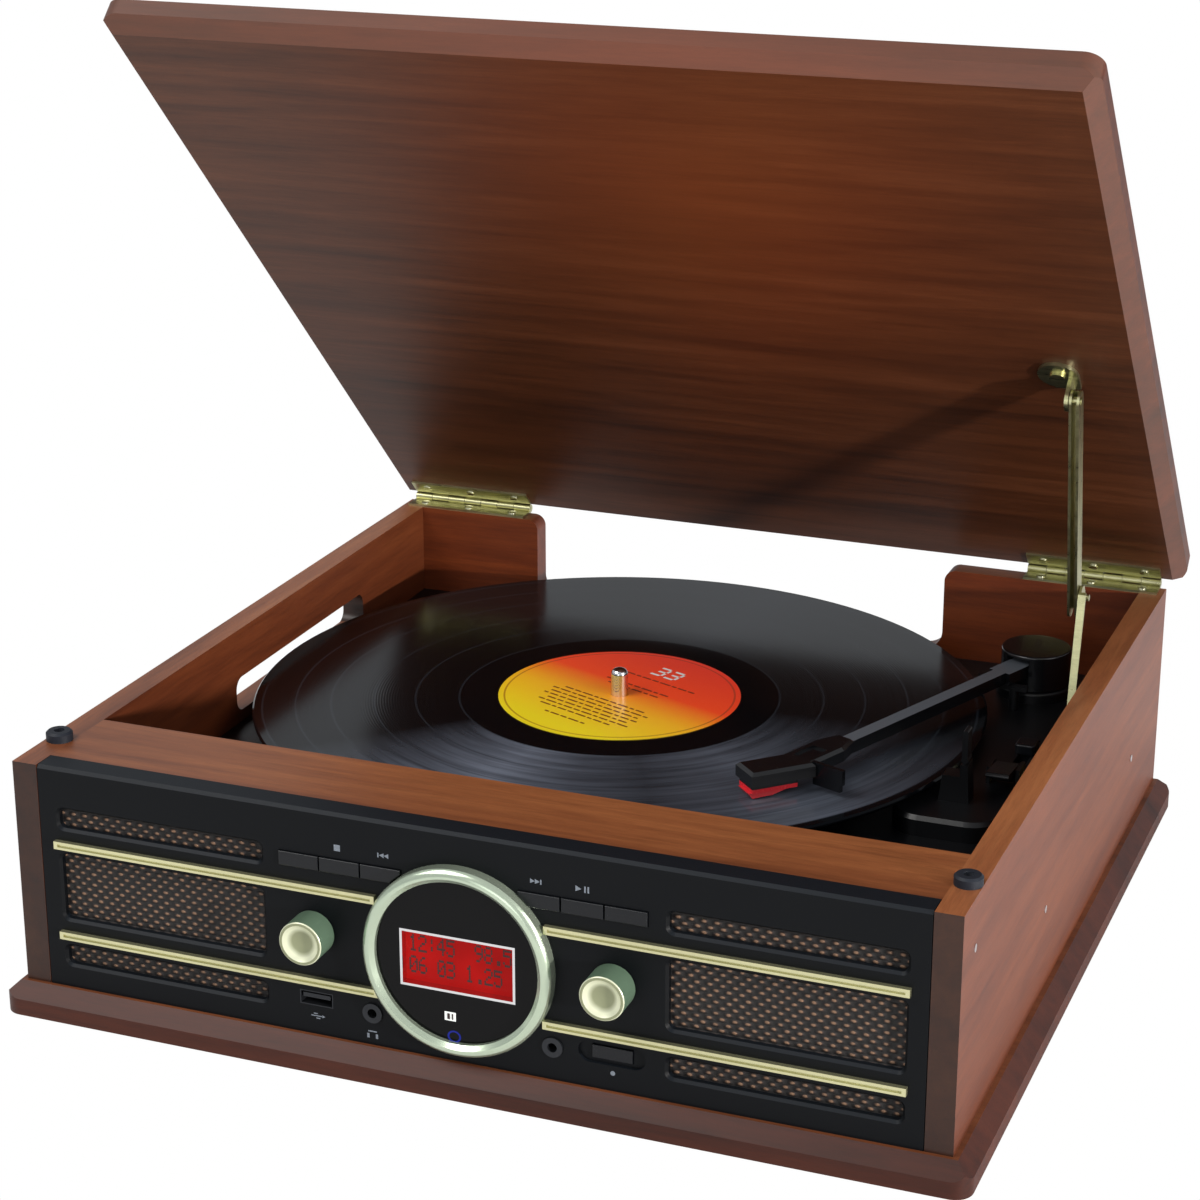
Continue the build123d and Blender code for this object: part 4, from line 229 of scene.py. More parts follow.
class Shader:
    """One material's node tree with short calls for adding nodes."""

    def __init__(self, name: str) -> None:
        self.material = bpy.data.materials.new(name)
        self.material.use_nodes = True
        self.tree = self.material.node_tree
        self.tree.nodes.clear()
        self.surface = self.add("ShaderNodeBsdfPrincipled")
        self.add("ShaderNodeOutputMaterial", {"Surface": self.surface.outputs[0]})
        self.position = self.add("ShaderNodeTexCoord").outputs["Object"]

    def add(self, kind: str, inputs: dict | None = None, **settings) -> bpy.types.Node:
        """Adds a node to this material; see add_node."""
        return add_node(self.tree, kind, inputs, **settings)

    def set(self, **values) -> None:
        """Sets or joins inputs of the surface shader; underscores stand for spaces."""
        for key, value in values.items():
            join(self.tree, value, self.surface.inputs[key.replace("_", " ")])

    def scaled(self, scale: Point) -> Socket:
        """Position multiplied per axis, for stretched patterns."""
        return self.add("ShaderNodeMapping", {"Vector": self.position, "Scale": scale}).outputs[0]

    def combined(self, **coordinates) -> Socket:
        """Vector made of single coordinates; those not given are 0."""
        return self.add("ShaderNodeCombineXYZ", coordinates).outputs[0]

    def axis(self, name: str) -> Socket:
        """One coordinate of the position, in metres."""
        return self.add("ShaderNodeSeparateXYZ", {0: self.position}).outputs[name]

    def noise(
        self,
        vector: Socket,
        scale: float,
        detail: float,
        roughness: float = 0.55,
        distortion: float = 0.0,
    ) -> Socket:
        """Noise value between 0 and 1 at the given vector."""
        inputs = {
            "Vector": vector,
            "Scale": scale,
            "Detail": detail,
            "Roughness": roughness,
            "Distortion": distortion,
        }
        return self.add("ShaderNodeTexNoise", inputs).outputs[0]

    def math(self, operation: str, first, second=0.0, third=0.0, clamp: bool = False) -> Socket:
        """Result of one arithmetic operation."""
        inputs = {0: first, 1: second, 2: third}
        return self.add("ShaderNodeMath", inputs, operation=operation, use_clamp=clamp).outputs[0]

    def total(self, values: list[Socket]) -> Socket:
        """Sum of several values."""
        result = values[0]
        for value in values[1:]:
            result = self.math("ADD", result, value)
        return result

    def rising(self, value: Socket, start: float, slope: float) -> Socket:
        """Fade that leaves 0 at the start, climbs with the slope and stops at 1."""
        return self.math("MULTIPLY_ADD", value, slope, -slope * start, clamp=True)

    def away_from(self, value: Socket, middle: float) -> Socket:
        """Size of the difference between a value and a middle."""
        return self.math("ABSOLUTE", self.math("SUBTRACT", value, middle))

    def about(self, centre: tuple[float, float]) -> tuple[Socket, Socket, Socket]:
        """Level coordinates about a centre and the distance from it, in metres.

        Args:
            centre: X and Y of the centre.

        Returns:
            Outputs for X, Y and the radius.
        """
        x = self.math("SUBTRACT", self.axis("X"), centre[0])
        y = self.math("SUBTRACT", self.axis("Y"), centre[1])
        squares = self.math("ADD", self.math("MULTIPLY", x, x), self.math("MULTIPLY", y, y))
        return x, y, self.math("SQRT", squares)

    def ramp(self, factor: Socket, stops: list[tuple[float, Colour]]) -> Socket:
        """Colour read from a ramp of (place, linear colour) stops."""
        node = self.add("ShaderNodeValToRGB", {0: factor})
        elements = node.color_ramp.elements
        while len(elements) < len(stops):
            elements.new(0.5)
        for element, (place, colour) in zip(elements, stops):
            element.position = place
            element.color = colour
        return node.outputs[0]

    def mix(self, factor, first, second, blend: str = "MIX") -> Socket:
        """Two colours mixed by a factor; the node's colours are its sockets 6 and 7."""
        inputs = {0: factor, 6: first, 7: second}
        return self.add("ShaderNodeMix", inputs, data_type="RGBA", blend_type=blend).outputs[2]

    def bump(self, height: Socket, distance_mm: float, strength: float) -> None:
        """Disturbs the surface's normal by a height pattern of the given real depth."""
        inputs = {"Height": height, "Distance": distance_mm * MM, "Strength": strength}
        self.set(Normal=self.add("ShaderNodeBump", inputs).outputs[0])

    def facing(self, direction: Point) -> Socket:
        """Cosine between the piece's own normal and a direction."""
        normal = self.add("ShaderNodeTexCoord").outputs["Normal"]
        inputs = {0: normal, 1: direction}
        return self.add("ShaderNodeVectorMath", inputs, operation="DOT_PRODUCT").outputs["Value"]


class Surfaces:
    """Builds every material once and hands it out by name."""

    def __init__(self) -> None:
        self.made: dict[str, bpy.types.Material] = {}

    def _start(self, name: str) -> Shader:
        """Starts a material and keeps it under its name."""
        shader = Shader(name)
        self.made[name] = shader.material
        return shader

    def wood(self, name: str, finish: WoodFinish, face: Point) -> None:
        """Veneer: broad figure, long fibres, fine dark pores and a thin satin lacquer.

        Args:
            name: material name.
            finish: tones and sheen.
            face: direction of the broad face that carries the main tone.
        """
        s = self._start(name)
        stretched = s.scaled(finish.grain.value)
        figure = s.noise(stretched, scale=1.1, detail=3.0, roughness=0.5, distortion=0.6)
        fibres = s.noise(stretched, scale=7.0, detail=6.0, roughness=0.62, distortion=0.3)
        fine = s.noise(stretched, scale=38.0, detail=5.0, roughness=0.7)
        dark, middle, light = linear(finish.dark), linear(finish.middle), linear(finish.light)
        figure_share, pore_share = 0.55, 0.30
        waves = s.math("MULTIPLY_ADD", figure, figure_share, s.math("MULTIPLY", fibres, 1 - figure_share))
        tone = s.ramp(waves, [(0.30, dark), (0.50, middle), (0.70, light)])
        pores = s.math("GREATER_THAN", fine, 0.60)
        tone = s.mix(s.math("MULTIPLY", pores, pore_share), tone, dark)
        fleck = s.ramp(fine, [(0.35, (0.80, 0.80, 0.80, 1)), (0.65, (1.1, 1.1, 1.1, 1))])
        tone = s.mix(1.0, tone, fleck, "MULTIPLY")
        # Tones by the way each face points: the side tone is painted light and shade, the edge tone partly
        # real darker ends and partly painted light and shade.
        on_face = s.rising(s.math("ABSOLUTE", s.facing(face)), start=0.9, slope=12.0)
        on_side = s.rising(s.math("ABSOLUTE", s.facing(SIDEWAYS)), start=0.9, slope=12.0)
        edge = s.mix(1.0, tone, linear(finish.edge), "MULTIPLY")
        side = s.mix(1.0, tone, linear(finish.side), "MULTIPLY")
        # Painted pale highlight on the edges.
        edge = s.mix(finish.painted_edge_highlight_share, edge, linear(WOOD_LIGHT.painted_edge_highlight))
        tone = s.mix(on_face, s.mix(on_side, edge, side), tone)
        # Painted warm pool of light about a point near the lid.
        if finish.glow:
            inputs = {0: s.position, 1: WOOD_LIGHT.centre}
            away = s.add("ShaderNodeVectorMath", inputs, operation="DISTANCE").outputs["Value"]
            near = s.math("SUBTRACT", 1.0, s.math("DIVIDE", away, WOOD_LIGHT.radius), clamp=True)
            painted_light = s.math("MULTIPLY", s.math("POWER", near, WOOD_LIGHT.fall), finish.glow)
            tone = s.mix(painted_light, tone, linear(WOOD_LIGHT.painted_light_colour))
        s.set(Base_Color=tone, Roughness=finish.roughness, Specular_IOR_Level=finish.shine)
        relief = s.math("ADD", fibres, s.math("MULTIPLY", fine, 0.6))
        s.bump(relief, distance_mm=0.06, strength=0.5)

    def plain(self, name: str, finish: PlainFinish) -> None:
        """Moulded, painted or metal surface with a fine real-size grit.

        Args:
            name: material name.
            finish: colour, gloss and texture.
        """
        s = self._start(name)
        grit = s.noise(s.position, scale=1 / (finish.grit_mm * MM), detail=3.0, roughness=0.6)
        smear = s.noise(s.position, scale=18.0, detail=3.0, roughness=0.5)
        colour = linear(finish.colour)
        shade = s.ramp(smear, [(0.3, dimmed(colour, 0.9)), (0.7, colour)])
        # Painted light on the faces that point up.
        if finish.painted_top_light:
            shade = s.mix(s.rising(s.facing(UP), start=0.4, slope=4.0), shade, linear(finish.painted_top_light))
        if finish.front:
            forward = s.facing(FORWARD)
            shade = s.mix(s.rising(forward, start=0.3, slope=12.0), shade, linear(finish.rim))
            shade = s.mix(s.rising(forward, start=0.8714, slope=14.0), shade, linear(finish.front))
        spread = 0.16
        rough = s.math("MULTIPLY_ADD", grit, spread, finish.roughness - spread / 2, clamp=True)
        s.set(Base_Color=shade, Metallic=finish.metallic, Roughness=rough, Coat_Weight=finish.coat)
        s.set(Specular_IOR_Level=finish.shine)
        s.bump(grit, finish.depth_mm, strength=0.6)

    def two_part(self, name: str, upper: str, lower: str, seam: float) -> None:
        """Moulding in two colours that meet at a level seam.

        Args:
            name: material name.
            upper: colour above the seam.
            lower: colour below the seam.
            seam: height of the seam in metres.
        """
        s = self._start(name)
        grit = s.noise(s.position, scale=1200.0, detail=3.0, roughness=0.6)
        above = s.math("GREATER_THAN", s.axis("Z"), seam)
        s.set(
            Base_Color=s.mix(above, linear(lower), linear(upper)),
            Roughness=s.math("MULTIPLY_ADD", grit, 0.12, 0.2),
            Specular_IOR_Level=0.4,
        )
        s.bump(grit, distance_mm=0.004, strength=0.5)

    def brushed(self, name: str, finish: PlainFinish, stretch: Point) -> None:
        """Metal with fine lines running along one direction.

        Args:
            name: material name.
            finish: colour and gloss.
            stretch: line scales per metre; the lines run along the smallest.
        """
        s = self._start(name)
        lines = s.noise(s.scaled(stretch), scale=1.0, detail=4.0, roughness=0.7)
        colour = linear(finish.colour)
        spread = 0.2
        s.set(
            Base_Color=s.ramp(lines, [(0.35, dimmed(colour, 0.72)), (0.65, colour)]),
            Metallic=finish.metallic,
            Roughness=s.math("MULTIPLY_ADD", lines, spread, finish.roughness - spread / 2, clamp=True),
        )
        s.bump(lines, finish.depth_mm, strength=0.5)

    def vinyl(self, name: str, centre: tuple[float, float]) -> None:
        """Black record: fine grooves, brighter gap rings between tracks and a fan-shaped sheen, both
        painted into its colour.

        Args:
            name: material name.
            centre: X and Y of the record's middle, in metres.
        """
        s = self._start(name)
        x, y, radius = s.about(centre)
        groove = s.math("SINE", s.math("MULTIPLY", radius, FULL_TURN / (VINYL.groove_pitch_mm * MM)))
        outside = s.math("GREATER_THAN", radius, VINYL.inner_mm * MM)
        playing = s.math("MULTIPLY", outside, s.math("LESS_THAN", radius, VINYL.outer_mm * MM))
        rings = s.total(
            [
                s.math("LESS_THAN", s.away_from(radius, gap_mm * MM), VINYL.gap_half_mm * MM)
                for gap_mm in VINYL.gaps_mm
            ]
        )
        bands = s.combined(X=s.math("MULTIPLY", radius, 900.0))
        dull = s.noise(bands, scale=1.0, detail=3.0, roughness=0.7)
        base = s.ramp(dull, [(0.3, linear(VINYL.dark)), (0.7, linear(VINYL.bright))])
        # Painted sheen in fan-shaped sectors, mixed into the record's colour.
        sheen = s.math("MULTIPLY", self._painted_sheen(s, x, y, radius), playing)
        base = s.mix(sheen, base, linear(VINYL.sheen))
        # Painted sheen on the gap rings between tracks.
        base = s.mix(s.math("MULTIPLY", rings, 0.4), base, linear(VINYL.gap))
        s.set(
            Base_Color=base,
            Roughness=s.math("MULTIPLY_ADD", s.math("MULTIPLY", playing, dull), 0.14, 0.10),
            Anisotropic=0.25,
            Tangent=s.add("ShaderNodeTangent", direction_type="RADIAL", axis="Z").outputs[0],
            Specular_IOR_Level=VINYL.shine,
            Specular_Tint=linear(VINYL.mirror),
        )
        s.bump(s.math("MULTIPLY", groove, playing), VINYL.groove_mm, strength=0.6)

    def _painted_sheen(self, s: Shader, x: Socket, y: Socket, radius: Socket) -> Socket:
        """Painted sheen of light caught by the grooves: fine arcs that follow them in a few sectors."""
        angle = s.math("ARCTAN2", y, x)
        spread = s.combined(X=s.math("MULTIPLY", angle, 1.3), Y=s.math("MULTIPLY", radius, 260.0))
        streaks = s.noise(spread, scale=1.0, detail=4.0, roughness=0.65)
        arcs = s.math("MULTIPLY_ADD", streaks, 2.6, -0.75, clamp=True)
        fans = []
        for middle, half_width, strength in VINYL.fans:
            off = s.away_from(angle, math.radians(middle))
            near = s.math("SUBTRACT", 1.0, s.math("DIVIDE", off, math.radians(half_width)), clamp=True)
            fans.append(s.math("MULTIPLY", s.math("SMOOTH_MIN", near, 1.0, 0.1), strength))
        arc_share = 0.6
        grooved = s.math("MULTIPLY_ADD", arcs, arc_share, 1 - arc_share)
        return s.math("MULTIPLY", grooved, s.total(fans), clamp=True)

    def label(self, name: str, centre: tuple[float, float]) -> None:
        """Record label: orange-red running into yellow, with a thin ring near its rim.

        Args:
            name: material name.
            centre: X and Y of the label's middle, in metres.
        """
        s = self._start(name)
        x, y, radius = s.about(centre)
        across = s.math("ADD", s.math("MULTIPLY", y, LABEL.fade_y), s.math("MULTIPLY", x, LABEL.fade_x))
        fade = s.math("MULTIPLY_ADD", across, LABEL.fade_per_metre, 0.5, clamp=True)
        paint = s.ramp(fade, [(place, linear(colour)) for place, colour in LABEL.fade])
        ring = s.math("LESS_THAN", s.away_from(radius, LABEL.ring_mm * MM), LABEL.ring_half_mm * MM)
        speckle = s.noise(s.position, scale=1500.0, detail=3.0)
        s.set(
            Base_Color=s.mix(s.math("MULTIPLY", ring, 0.6), paint, linear(LABEL.ring)),
            Roughness=s.math("MULTIPLY_ADD", speckle, 0.2, 0.32),
            Coat_Weight=0.2,
        )
        s.bump(speckle, distance_mm=0.01, strength=0.3)

    def cloth(self, name: str) -> None:
        """Loudspeaker cloth: coarse dark weave with tan raised threads, each row set off by half."""
        s = self._start(name)
        row = s.math("MULTIPLY", s.axis("Z"), FULL_TURN / (CLOTH.row_mm * MM))
        half_row = s.math("FLOOR", s.math("DIVIDE", s.axis("Z"), CLOTH.row_mm * MM / 2))
        shift = s.math("MULTIPLY", half_row, math.pi)
        column = s.math("ADD", s.math("MULTIPLY", s.axis("X"), FULL_TURN / (CLOTH.column_mm * MM)), shift)
        up = s.math("ABSOLUTE", s.math("SINE", row))
        over = s.math("MULTIPLY_ADD", s.math("SINE", column), 0.5, 0.5)
        thread = s.math("MULTIPLY", up, over)
        slub = s.noise(s.position, scale=700.0, detail=3.0)
        lit = s.math("MULTIPLY", thread, s.math("MULTIPLY_ADD", slub, 0.8, 0.6))
        tone = s.ramp(lit, [(place, linear(colour)) for place, colour in CLOTH.tones])
        s.set(Base_Color=tone, Roughness=0.75)
        s.bump(thread, CLOTH.thread_depth_mm, strength=1.0)

    def glowing(self, name: str, colour: str, strength: float) -> None:
        """Lit display surface or small lamp.

        Args:
            name: material name.
            colour: colour of the light.
            strength: how strongly it shines.
        """
        s = self._start(name)
        patch = s.noise(s.position, scale=60.0, detail=2.0)
        tone = linear(colour)
        paint = s.ramp(patch, [(0.3, dimmed(tone, 0.78)), (0.7, tone)])
        unlit = s.mix(0.75, paint, (0.0, 0.0, 0.0, 1.0))
        s.set(Base_Color=unlit, Roughness=0.3, Specular_IOR_Level=0.08)
        s.set(Emission_Color=paint, Emission_Strength=strength)


# Each finish's side tone is painted light and shade on the faces pointing sideways.
WOODS = {
    # Orange-brown veneer on the rail and the back, with darker mitred ends.
    "veneer_cabinet_x": WoodFinish(
        dark="#4c2614",
        middle="#774325",
        light="#955a33",
        edge="#c9a080",
        side="#d9b0a0",
        roughness=0.42,
        grain=Grain.ALONG_X,
    ),
    # Side panels: orange tops and inner faces, a pinker outer face that is painted glancing light, and dark
    # front ends.
    "veneer_cabinet_y": WoodFinish(
        dark="#562c18",
        middle="#834c2c",
        light="#a0643c",
        edge="#5c544a",
        side="#baa091",
        roughness=0.42,
        grain=Grain.ALONG_Y,
    ),
    # The lid's underside is the darkest and reddest face, with a painted warm pool of light in its middle;
    # its mitred edges are brighter, a painted highlight.
    "veneer_lid": WoodFinish(
        dark="#27130a",
        middle="#4a2714",
        light="#613720",
        edge="#f0c8b0",
        side="#f0c8b0",
        roughness=0.42,
        grain=Grain.ALONG_X,
        glow=0.30,
        shine=0.25,
        painted_edge_highlight_share=0.16,
    ),
    # The base board, with a greyer brown on its mitred edge.
    "veneer_base": WoodFinish(
        dark="#40200f",
        middle="#6a3a20",
        light="#824c2e",
        edge="#94756a",
        side="#a8887c",
        roughness=0.46,
        grain=Grain.ALONG_X,
        shine=0.28,
    ),
}

PLAINS = {
    # Matt black moulding with a blue cast; its top lip catches the light, painted as a lighter colour on
    # its upward faces.
    "fascia_moulding": PlainFinish("#080a0d", 0.46, grit_mm=0.5, depth_mm=0.012, painted_top_light="#12161b", shine=0.12),
    # Plain black moulding, slightly softer than the fascia.
    "black_moulding": PlainFinish("#090a0d", 0.45, grit_mm=0.5, depth_mm=0.015, shine=0.3),
    # Satin black deck.
    "deck_moulding": PlainFinish("#08090c", 0.36, shine=0.4),
    # Button caps, a shade glossier than the fascia round them.
    "control_black": PlainFinish("#0c0e12", 0.30, grit_mm=0.5, depth_mm=0.01, shine=0.3),
    # Dark plated shells of the sockets.
    "socket_shell": PlainFinish("#2a2c30", 0.34, metallic=0.6, grit_mm=0.5, depth_mm=0.01),
    # Pale gold anodised strips.
    "trim_satin": PlainFinish("#d3d0a4", 0.20, metallic=0.85, grit_mm=0.4, depth_mm=0.004),
    # Greener, cooler plating on the bezel.
    "bezel_satin": PlainFinish("#bccab4", 0.22, metallic=0.75, grit_mm=0.4, depth_mm=0.004),
    # Green knobs with a bright rim round a cream dish.
    "knob_satin": PlainFinish(
        "#67806a",
        0.34,
        metallic=0.35,
        grit_mm=0.4,
        depth_mm=0.006,
        shine=0.4,
        front="#868a6c",
        rim="#cfd2b6",
    ),
    # Mirror-bright spindle, screws and display frame.
    "polished_chrome": PlainFinish("#e6e6e8", 0.08, metallic=1.0, grit_mm=1.5, depth_mm=0.001),
    # Grey turned metal of the bearing, platter and pulley.
    "turned_steel": PlainFinish("#a8abae", 0.32, metallic=1.0, grit_mm=0.5, depth_mm=0.01),
    # Duller, warmer grey can of the motor.
    "zinc_can": PlainFinish("#9a9892", 0.40, metallic=0.9, grit_mm=0.8, depth_mm=0.01),
    # Matt black feet and belt.
    "black_rubber": PlainFinish("#141416", 0.72, grit_mm=0.8, depth_mm=0.03),
    # Blue-grey rubber bumpers.
    "bumper_rubber": PlainFinish("#1a1e26", 0.55, shine=0.25),
    # Dark grey painted loudspeaker baskets.
    "speaker_paint": PlainFinish("#1a1b1d", 0.5, metallic=0.2),
    # Smooth black lens of the dial.
    "dial_lens": PlainFinish("#050506", 0.12, grit_mm=3.0, depth_mm=0.0005, shine=0.15),
    # Green coating of the circuit boards.
    "circuit_mask": PlainFinish("#14502e", 0.35, grit_mm=1.4, depth_mm=0.03),
    # Fuzzy, almost black felt.
    "felt_mat": PlainFinish("#16171a", 0.92, grit_mm=0.5, depth_mm=0.08),
    # Glossy black headshell and turret.
    "arm_paint": PlainFinish("#0b0c0f", 0.24, grit_mm=0.8, depth_mm=0.004, coat=0.2, shine=0.4),
    # Black arm whose flat top shows one bright line, a painted highlight.
    "tube_paint": PlainFinish(
        "#0b0c0f", 0.22, grit_mm=0.8, depth_mm=0.004, painted_top_light="#565b62", coat=0.2, shine=0.4
    ),
    # Bright red stylus holder.
    "stylus_plastic": PlainFinish("#e0242f", 0.22, grit_mm=1.0, depth_mm=0.002, coat=0.4),
    # Grey print on the fascia.
    "print_grey": PlainFinish("#6a717a", 0.5, depth_mm=0.004),
    # White print on the dial and the label.
    "mark_white": PlainFinish("#e8ece8", 0.5, depth_mm=0.004),
    # Dark characters on the lit display.
    "display_ink": PlainFinish("#230606", 0.5, depth_mm=0.004),
    # Brown-red print on the label.
    "label_ink": PlainFinish("#7a2c12", 0.5, depth_mm=0.004),
}

NODE_MATERIALS = {
    "veneer_cabinet_x": ("front_rail", "back_panel"),
    "veneer_cabinet_y": ("left_side_panel", "right_side_panel"),
    "veneer_lid": ("lid_board",),
    "veneer_base": ("base_board",),
    "fascia_moulding": ("fascia",),
    "black_moulding": ("front_baffle", "cue_bar", "arm_clip"),
    "deck_moulding": ("deck_plate", "tonearm_base", "arm_rest", "rear_socket_plate"),
    "control_black": ("record_key", "speed_lever", "cue_lever", *(f"button_{n}" for n in range(1, 7))),
    "trim_satin": ("trim_strips",),
    "bezel_satin": ("dial_bezel",),
    "knob_satin": ("volume_knob", "tuning_knob"),
    "polished_chrome": ("spindle", "cabinet_screws", "lid_screws", "display_frame"),
    "socket_shell": ("front_sockets",),
    "turned_steel": ("platter_bearing", "platter", "motor_pulley"),
    "zinc_can": ("motor",),
    "black_rubber": ("rubber_feet", "drive_belt"),
    "bumper_rubber": ("lid_bumpers",),
    "speaker_paint": ("loudspeakers",),
    "dial_lens": ("dial_face",),
    "circuit_mask": ("front_board", "main_board"),
    "felt_mat": ("platter_mat",),
    "arm_paint": ("headshell", "arm_turret"),
    "tube_paint": ("arm_tube",),
    "cartridge_shell": ("cartridge",),
    "stylus_plastic": ("stylus",),
    "stay_brass": (
        "hinge_cabinet_leaves",
        "hinge_lid_leaves",
        "stay_foot_plate",
        "stay_lid_bracket",
        "stay_lower_arm",
        "stay_upper_arm",
        "line_out_sockets",
    ),
    "record_vinyl": ("record",),
    "label_paper": ("record_label",),
    "speaker_cloth": ("grille_cloths",),
    "display_lit": ("display_screen",),
}


def centre_of(node: str) -> Vector:
    """Middle of a CAD node's box, in metres."""
    low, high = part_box(node)
    return (Vector(low) + Vector(high)) / 2


class Finishes:
    """Gives each CAD node its material."""

    def __init__(self, surfaces: Surfaces) -> None:
        self.surfaces = surfaces

    def build(self) -> None:
        """Makes the materials and assigns them."""
        make = self.surfaces
        for name, finish in WOODS.items():
            make.wood(name, finish, LID_UNDERSIDE if name == "veneer_lid" else UP)
        for name, finish in PLAINS.items():
            make.plain(name, finish)
        disc = centre_of("record")
        make.vinyl("record_vinyl", (disc.x, disc.y))
        make.label("label_paper", (disc.x, disc.y))
        make.cloth("speaker_cloth")
        # Black cartridge with a red lower half.
        make.two_part("cartridge_shell", "#0b0c0f", "#d8202b", centre_of("cartridge").z)
        # Pale brass with fine lines along its length.
        brass = PlainFinish("#c9c79a", 0.3, metallic=1.0, depth_mm=0.01)
        make.brushed("stay_brass", brass, stretch=(60.0, 900.0, 120.0))
        # Deep red display and the small blue lamp ring.
        make.glowing("display_lit", "#b8100d", strength=0.62)
        make.glowing("mark_blue", "#2a35a8", strength=0.5)
        for name, nodes in NODE_MATERIALS.items():
            for node in nodes:
                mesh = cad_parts[node].data
                mesh.materials.clear()
                mesh.materials.append(make.made[name])
                log.info("%s on %s", name, node)


@dataclass(frozen=True)
class SignSizes:
    """Spacing and dot size of signs made of dots, in millimetres; advance is in columns."""

    advance: float
    pitch_across: float
    pitch_up: float
    width: float
    height: float


@dataclass(frozen=True)
class MarkSizes:
    """Real sizes and places of the printed marks, in millimetres; places are (across, up)."""

    lift: float = 0.06
    thickness: float = 0.04

    # Icons over the buttons.
    icon: float = 2.4
    icon_up: float = 95.0
    stop_across: float = -46.7
    skips: tuple[tuple[int, float], ...] = ((-1, -28.6), (1, 28.4))
    skip_arrow: float = 1.8
    skip_spread: float = 0.9
    skip_bar_reach: float = 2.2
    skip_bar: float = 0.5
    play_across: float = 44.4
    play_arrow: float = 2.16
    pause_across: tuple[float, float] = (46.8, 48.0)
    pause_bar: float = 0.6

    # Headphone icon.
    phones: tuple[float, float] = (-34.9, 23.6)
    ear_reach: float = 1.7
    ear_width: float = 0.9
    ear_height: float = 1.8
    phones_band: float = 0.5

    # Branching line of the flat port.
    branch: tuple[float, float] = (-56.9, 27.4)
    stem_length: float = 4.6
    twig_length: float = 1.6
    twig_shift: float = 0.5
    twig_rise: float = 0.9
    branch_line: float = 0.4
    tip: float = 1.2
    tip_reach: float = 2.7

    # Dot under the record button.
    dot: tuple[float, float] = (57.0, 27.0)
    dot_radius: float = 0.9
    dot_sides: int = 16

    # Square and ring on the dial.
    dial_depth: float = 3.0
    square: tuple[float, float, float, float] = (-2.9, 39.0, 4.3, 3.4)
    square_bars: tuple[tuple[float, float], ...] = ((-3.5, 1.0), (-2.0, 0.5))
    square_bar_height: float = 2.2
    square_bar_lift: float = 0.12
    ring: tuple[float, float] = (-1.5, 31.3)
    ring_inner: float = 1.9
    ring_outer: float = 2.6
    ring_squash: float = 0.9
    ring_steps: int = 20

    # Display.
    display_lines: tuple[str, ...] = ("12:45  98.5", "06 03 1.25")
    display_left: float = 1.6
    display_top: float = 2.6
    display_pitch: float = 8.4
    display_signs: SignSizes = SignSizes(5.6, 0.64, 0.95, 0.58, 0.86)

    # Record label: each row is (up, width).
    label_turn: float = -21.4
    label_rows: tuple[tuple[float, float], ...] = (
        (21.0, 40.0),
        (11.0, 34.0),
        (7.5, 26.0),
        (-9.0, 44.0),
        (-12.2, 52.0),
        (-15.4, 48.0),
        (-18.6, 50.0),
        (-21.8, 40.0),
        (-25.0, 44.0),
        (-28.2, 36.0),
        (-34.0, 20.0),
    )
    word_lengths: tuple[float, ...] = (3.2, 5.4, 2.2, 4.4)
    word_height: float = 0.9
    word_gap: float = 1.1
    number: str = "33"
    number_place: tuple[float, float] = (-6.0, 34.5)
    number_signs: SignSizes = SignSizes(6.4, 1.15, 1.3, 1.2, 1.35)


# Dots of the signs that the display and the label show.
SIGNS = {
    "0": ("01110", "10001", "10011", "10101", "11001", "10001", "01110"),
    "1": ("00100", "01100", "00100", "00100", "00100", "00100", "01110"),
    "2": ("01110", "10001", "00001", "00110", "01000", "10000", "11111"),
    "3": ("11110", "00001", "00001", "01110", "00001", "00001", "11110"),
    "4": ("00010", "00110", "01010", "10010", "11111", "00010", "00010"),
    "5": ("11111", "10000", "11110", "00001", "00001", "10001", "01110"),
    "6": ("00110", "01000", "10000", "11110", "10001", "10001", "01110"),
    "8": ("01110", "10001", "10001", "01110", "10001", "10001", "01110"),
    "9": ("01110", "10001", "10001", "01111", "00001", "00010", "01100"),
    ":": ("00000", "00100", "00100", "00000", "00100", "00100", "00000"),
    ".": ("00000", "00000", "00000", "00000", "00000", "00110", "00110"),
    " ": ("00000", "00000", "00000", "00000", "00000", "00000", "00000"),
}


def bar(x: float, z: float, width: float, height: float) -> Outline:
    """Upright rectangle about a centre."""
    left, right, low, high = x - width / 2, x + width / 2, z - height / 2, z + height / 2
    return [(left, low), (right, low), (right, high), (left, high)]


def triangle(x: float, z: float, size: float, way: int) -> Outline:
    """Sideways triangle that points left (-1) or right (1)."""
    back, tip = x - way * size / 2, x + way * size / 2
    return [(back, z - size / 2), (tip, z), (back, z + size / 2)]


def sign_dots(text: str, left: float, top: float, sizes: SignSizes) -> list[Outline]:
    """Dots of a row of signs.

    Args:
        text: signs to show.
        left: place of the first column of dots.
        top: height of the top row of dots.
        sizes: spacing and dot size.

    Returns:
        One outline per dot.
    """
    dots = []
    for place, sign in enumerate(text):
        for row, bits in enumerate(SIGNS[sign]):
            for column, bit in enumerate(bits):
                if bit == "1":
                    x = left + (place * sizes.advance + column) * sizes.pitch_across
                    dots.append(bar(x, top - row * sizes.pitch_up, sizes.width, sizes.height))
    return dots


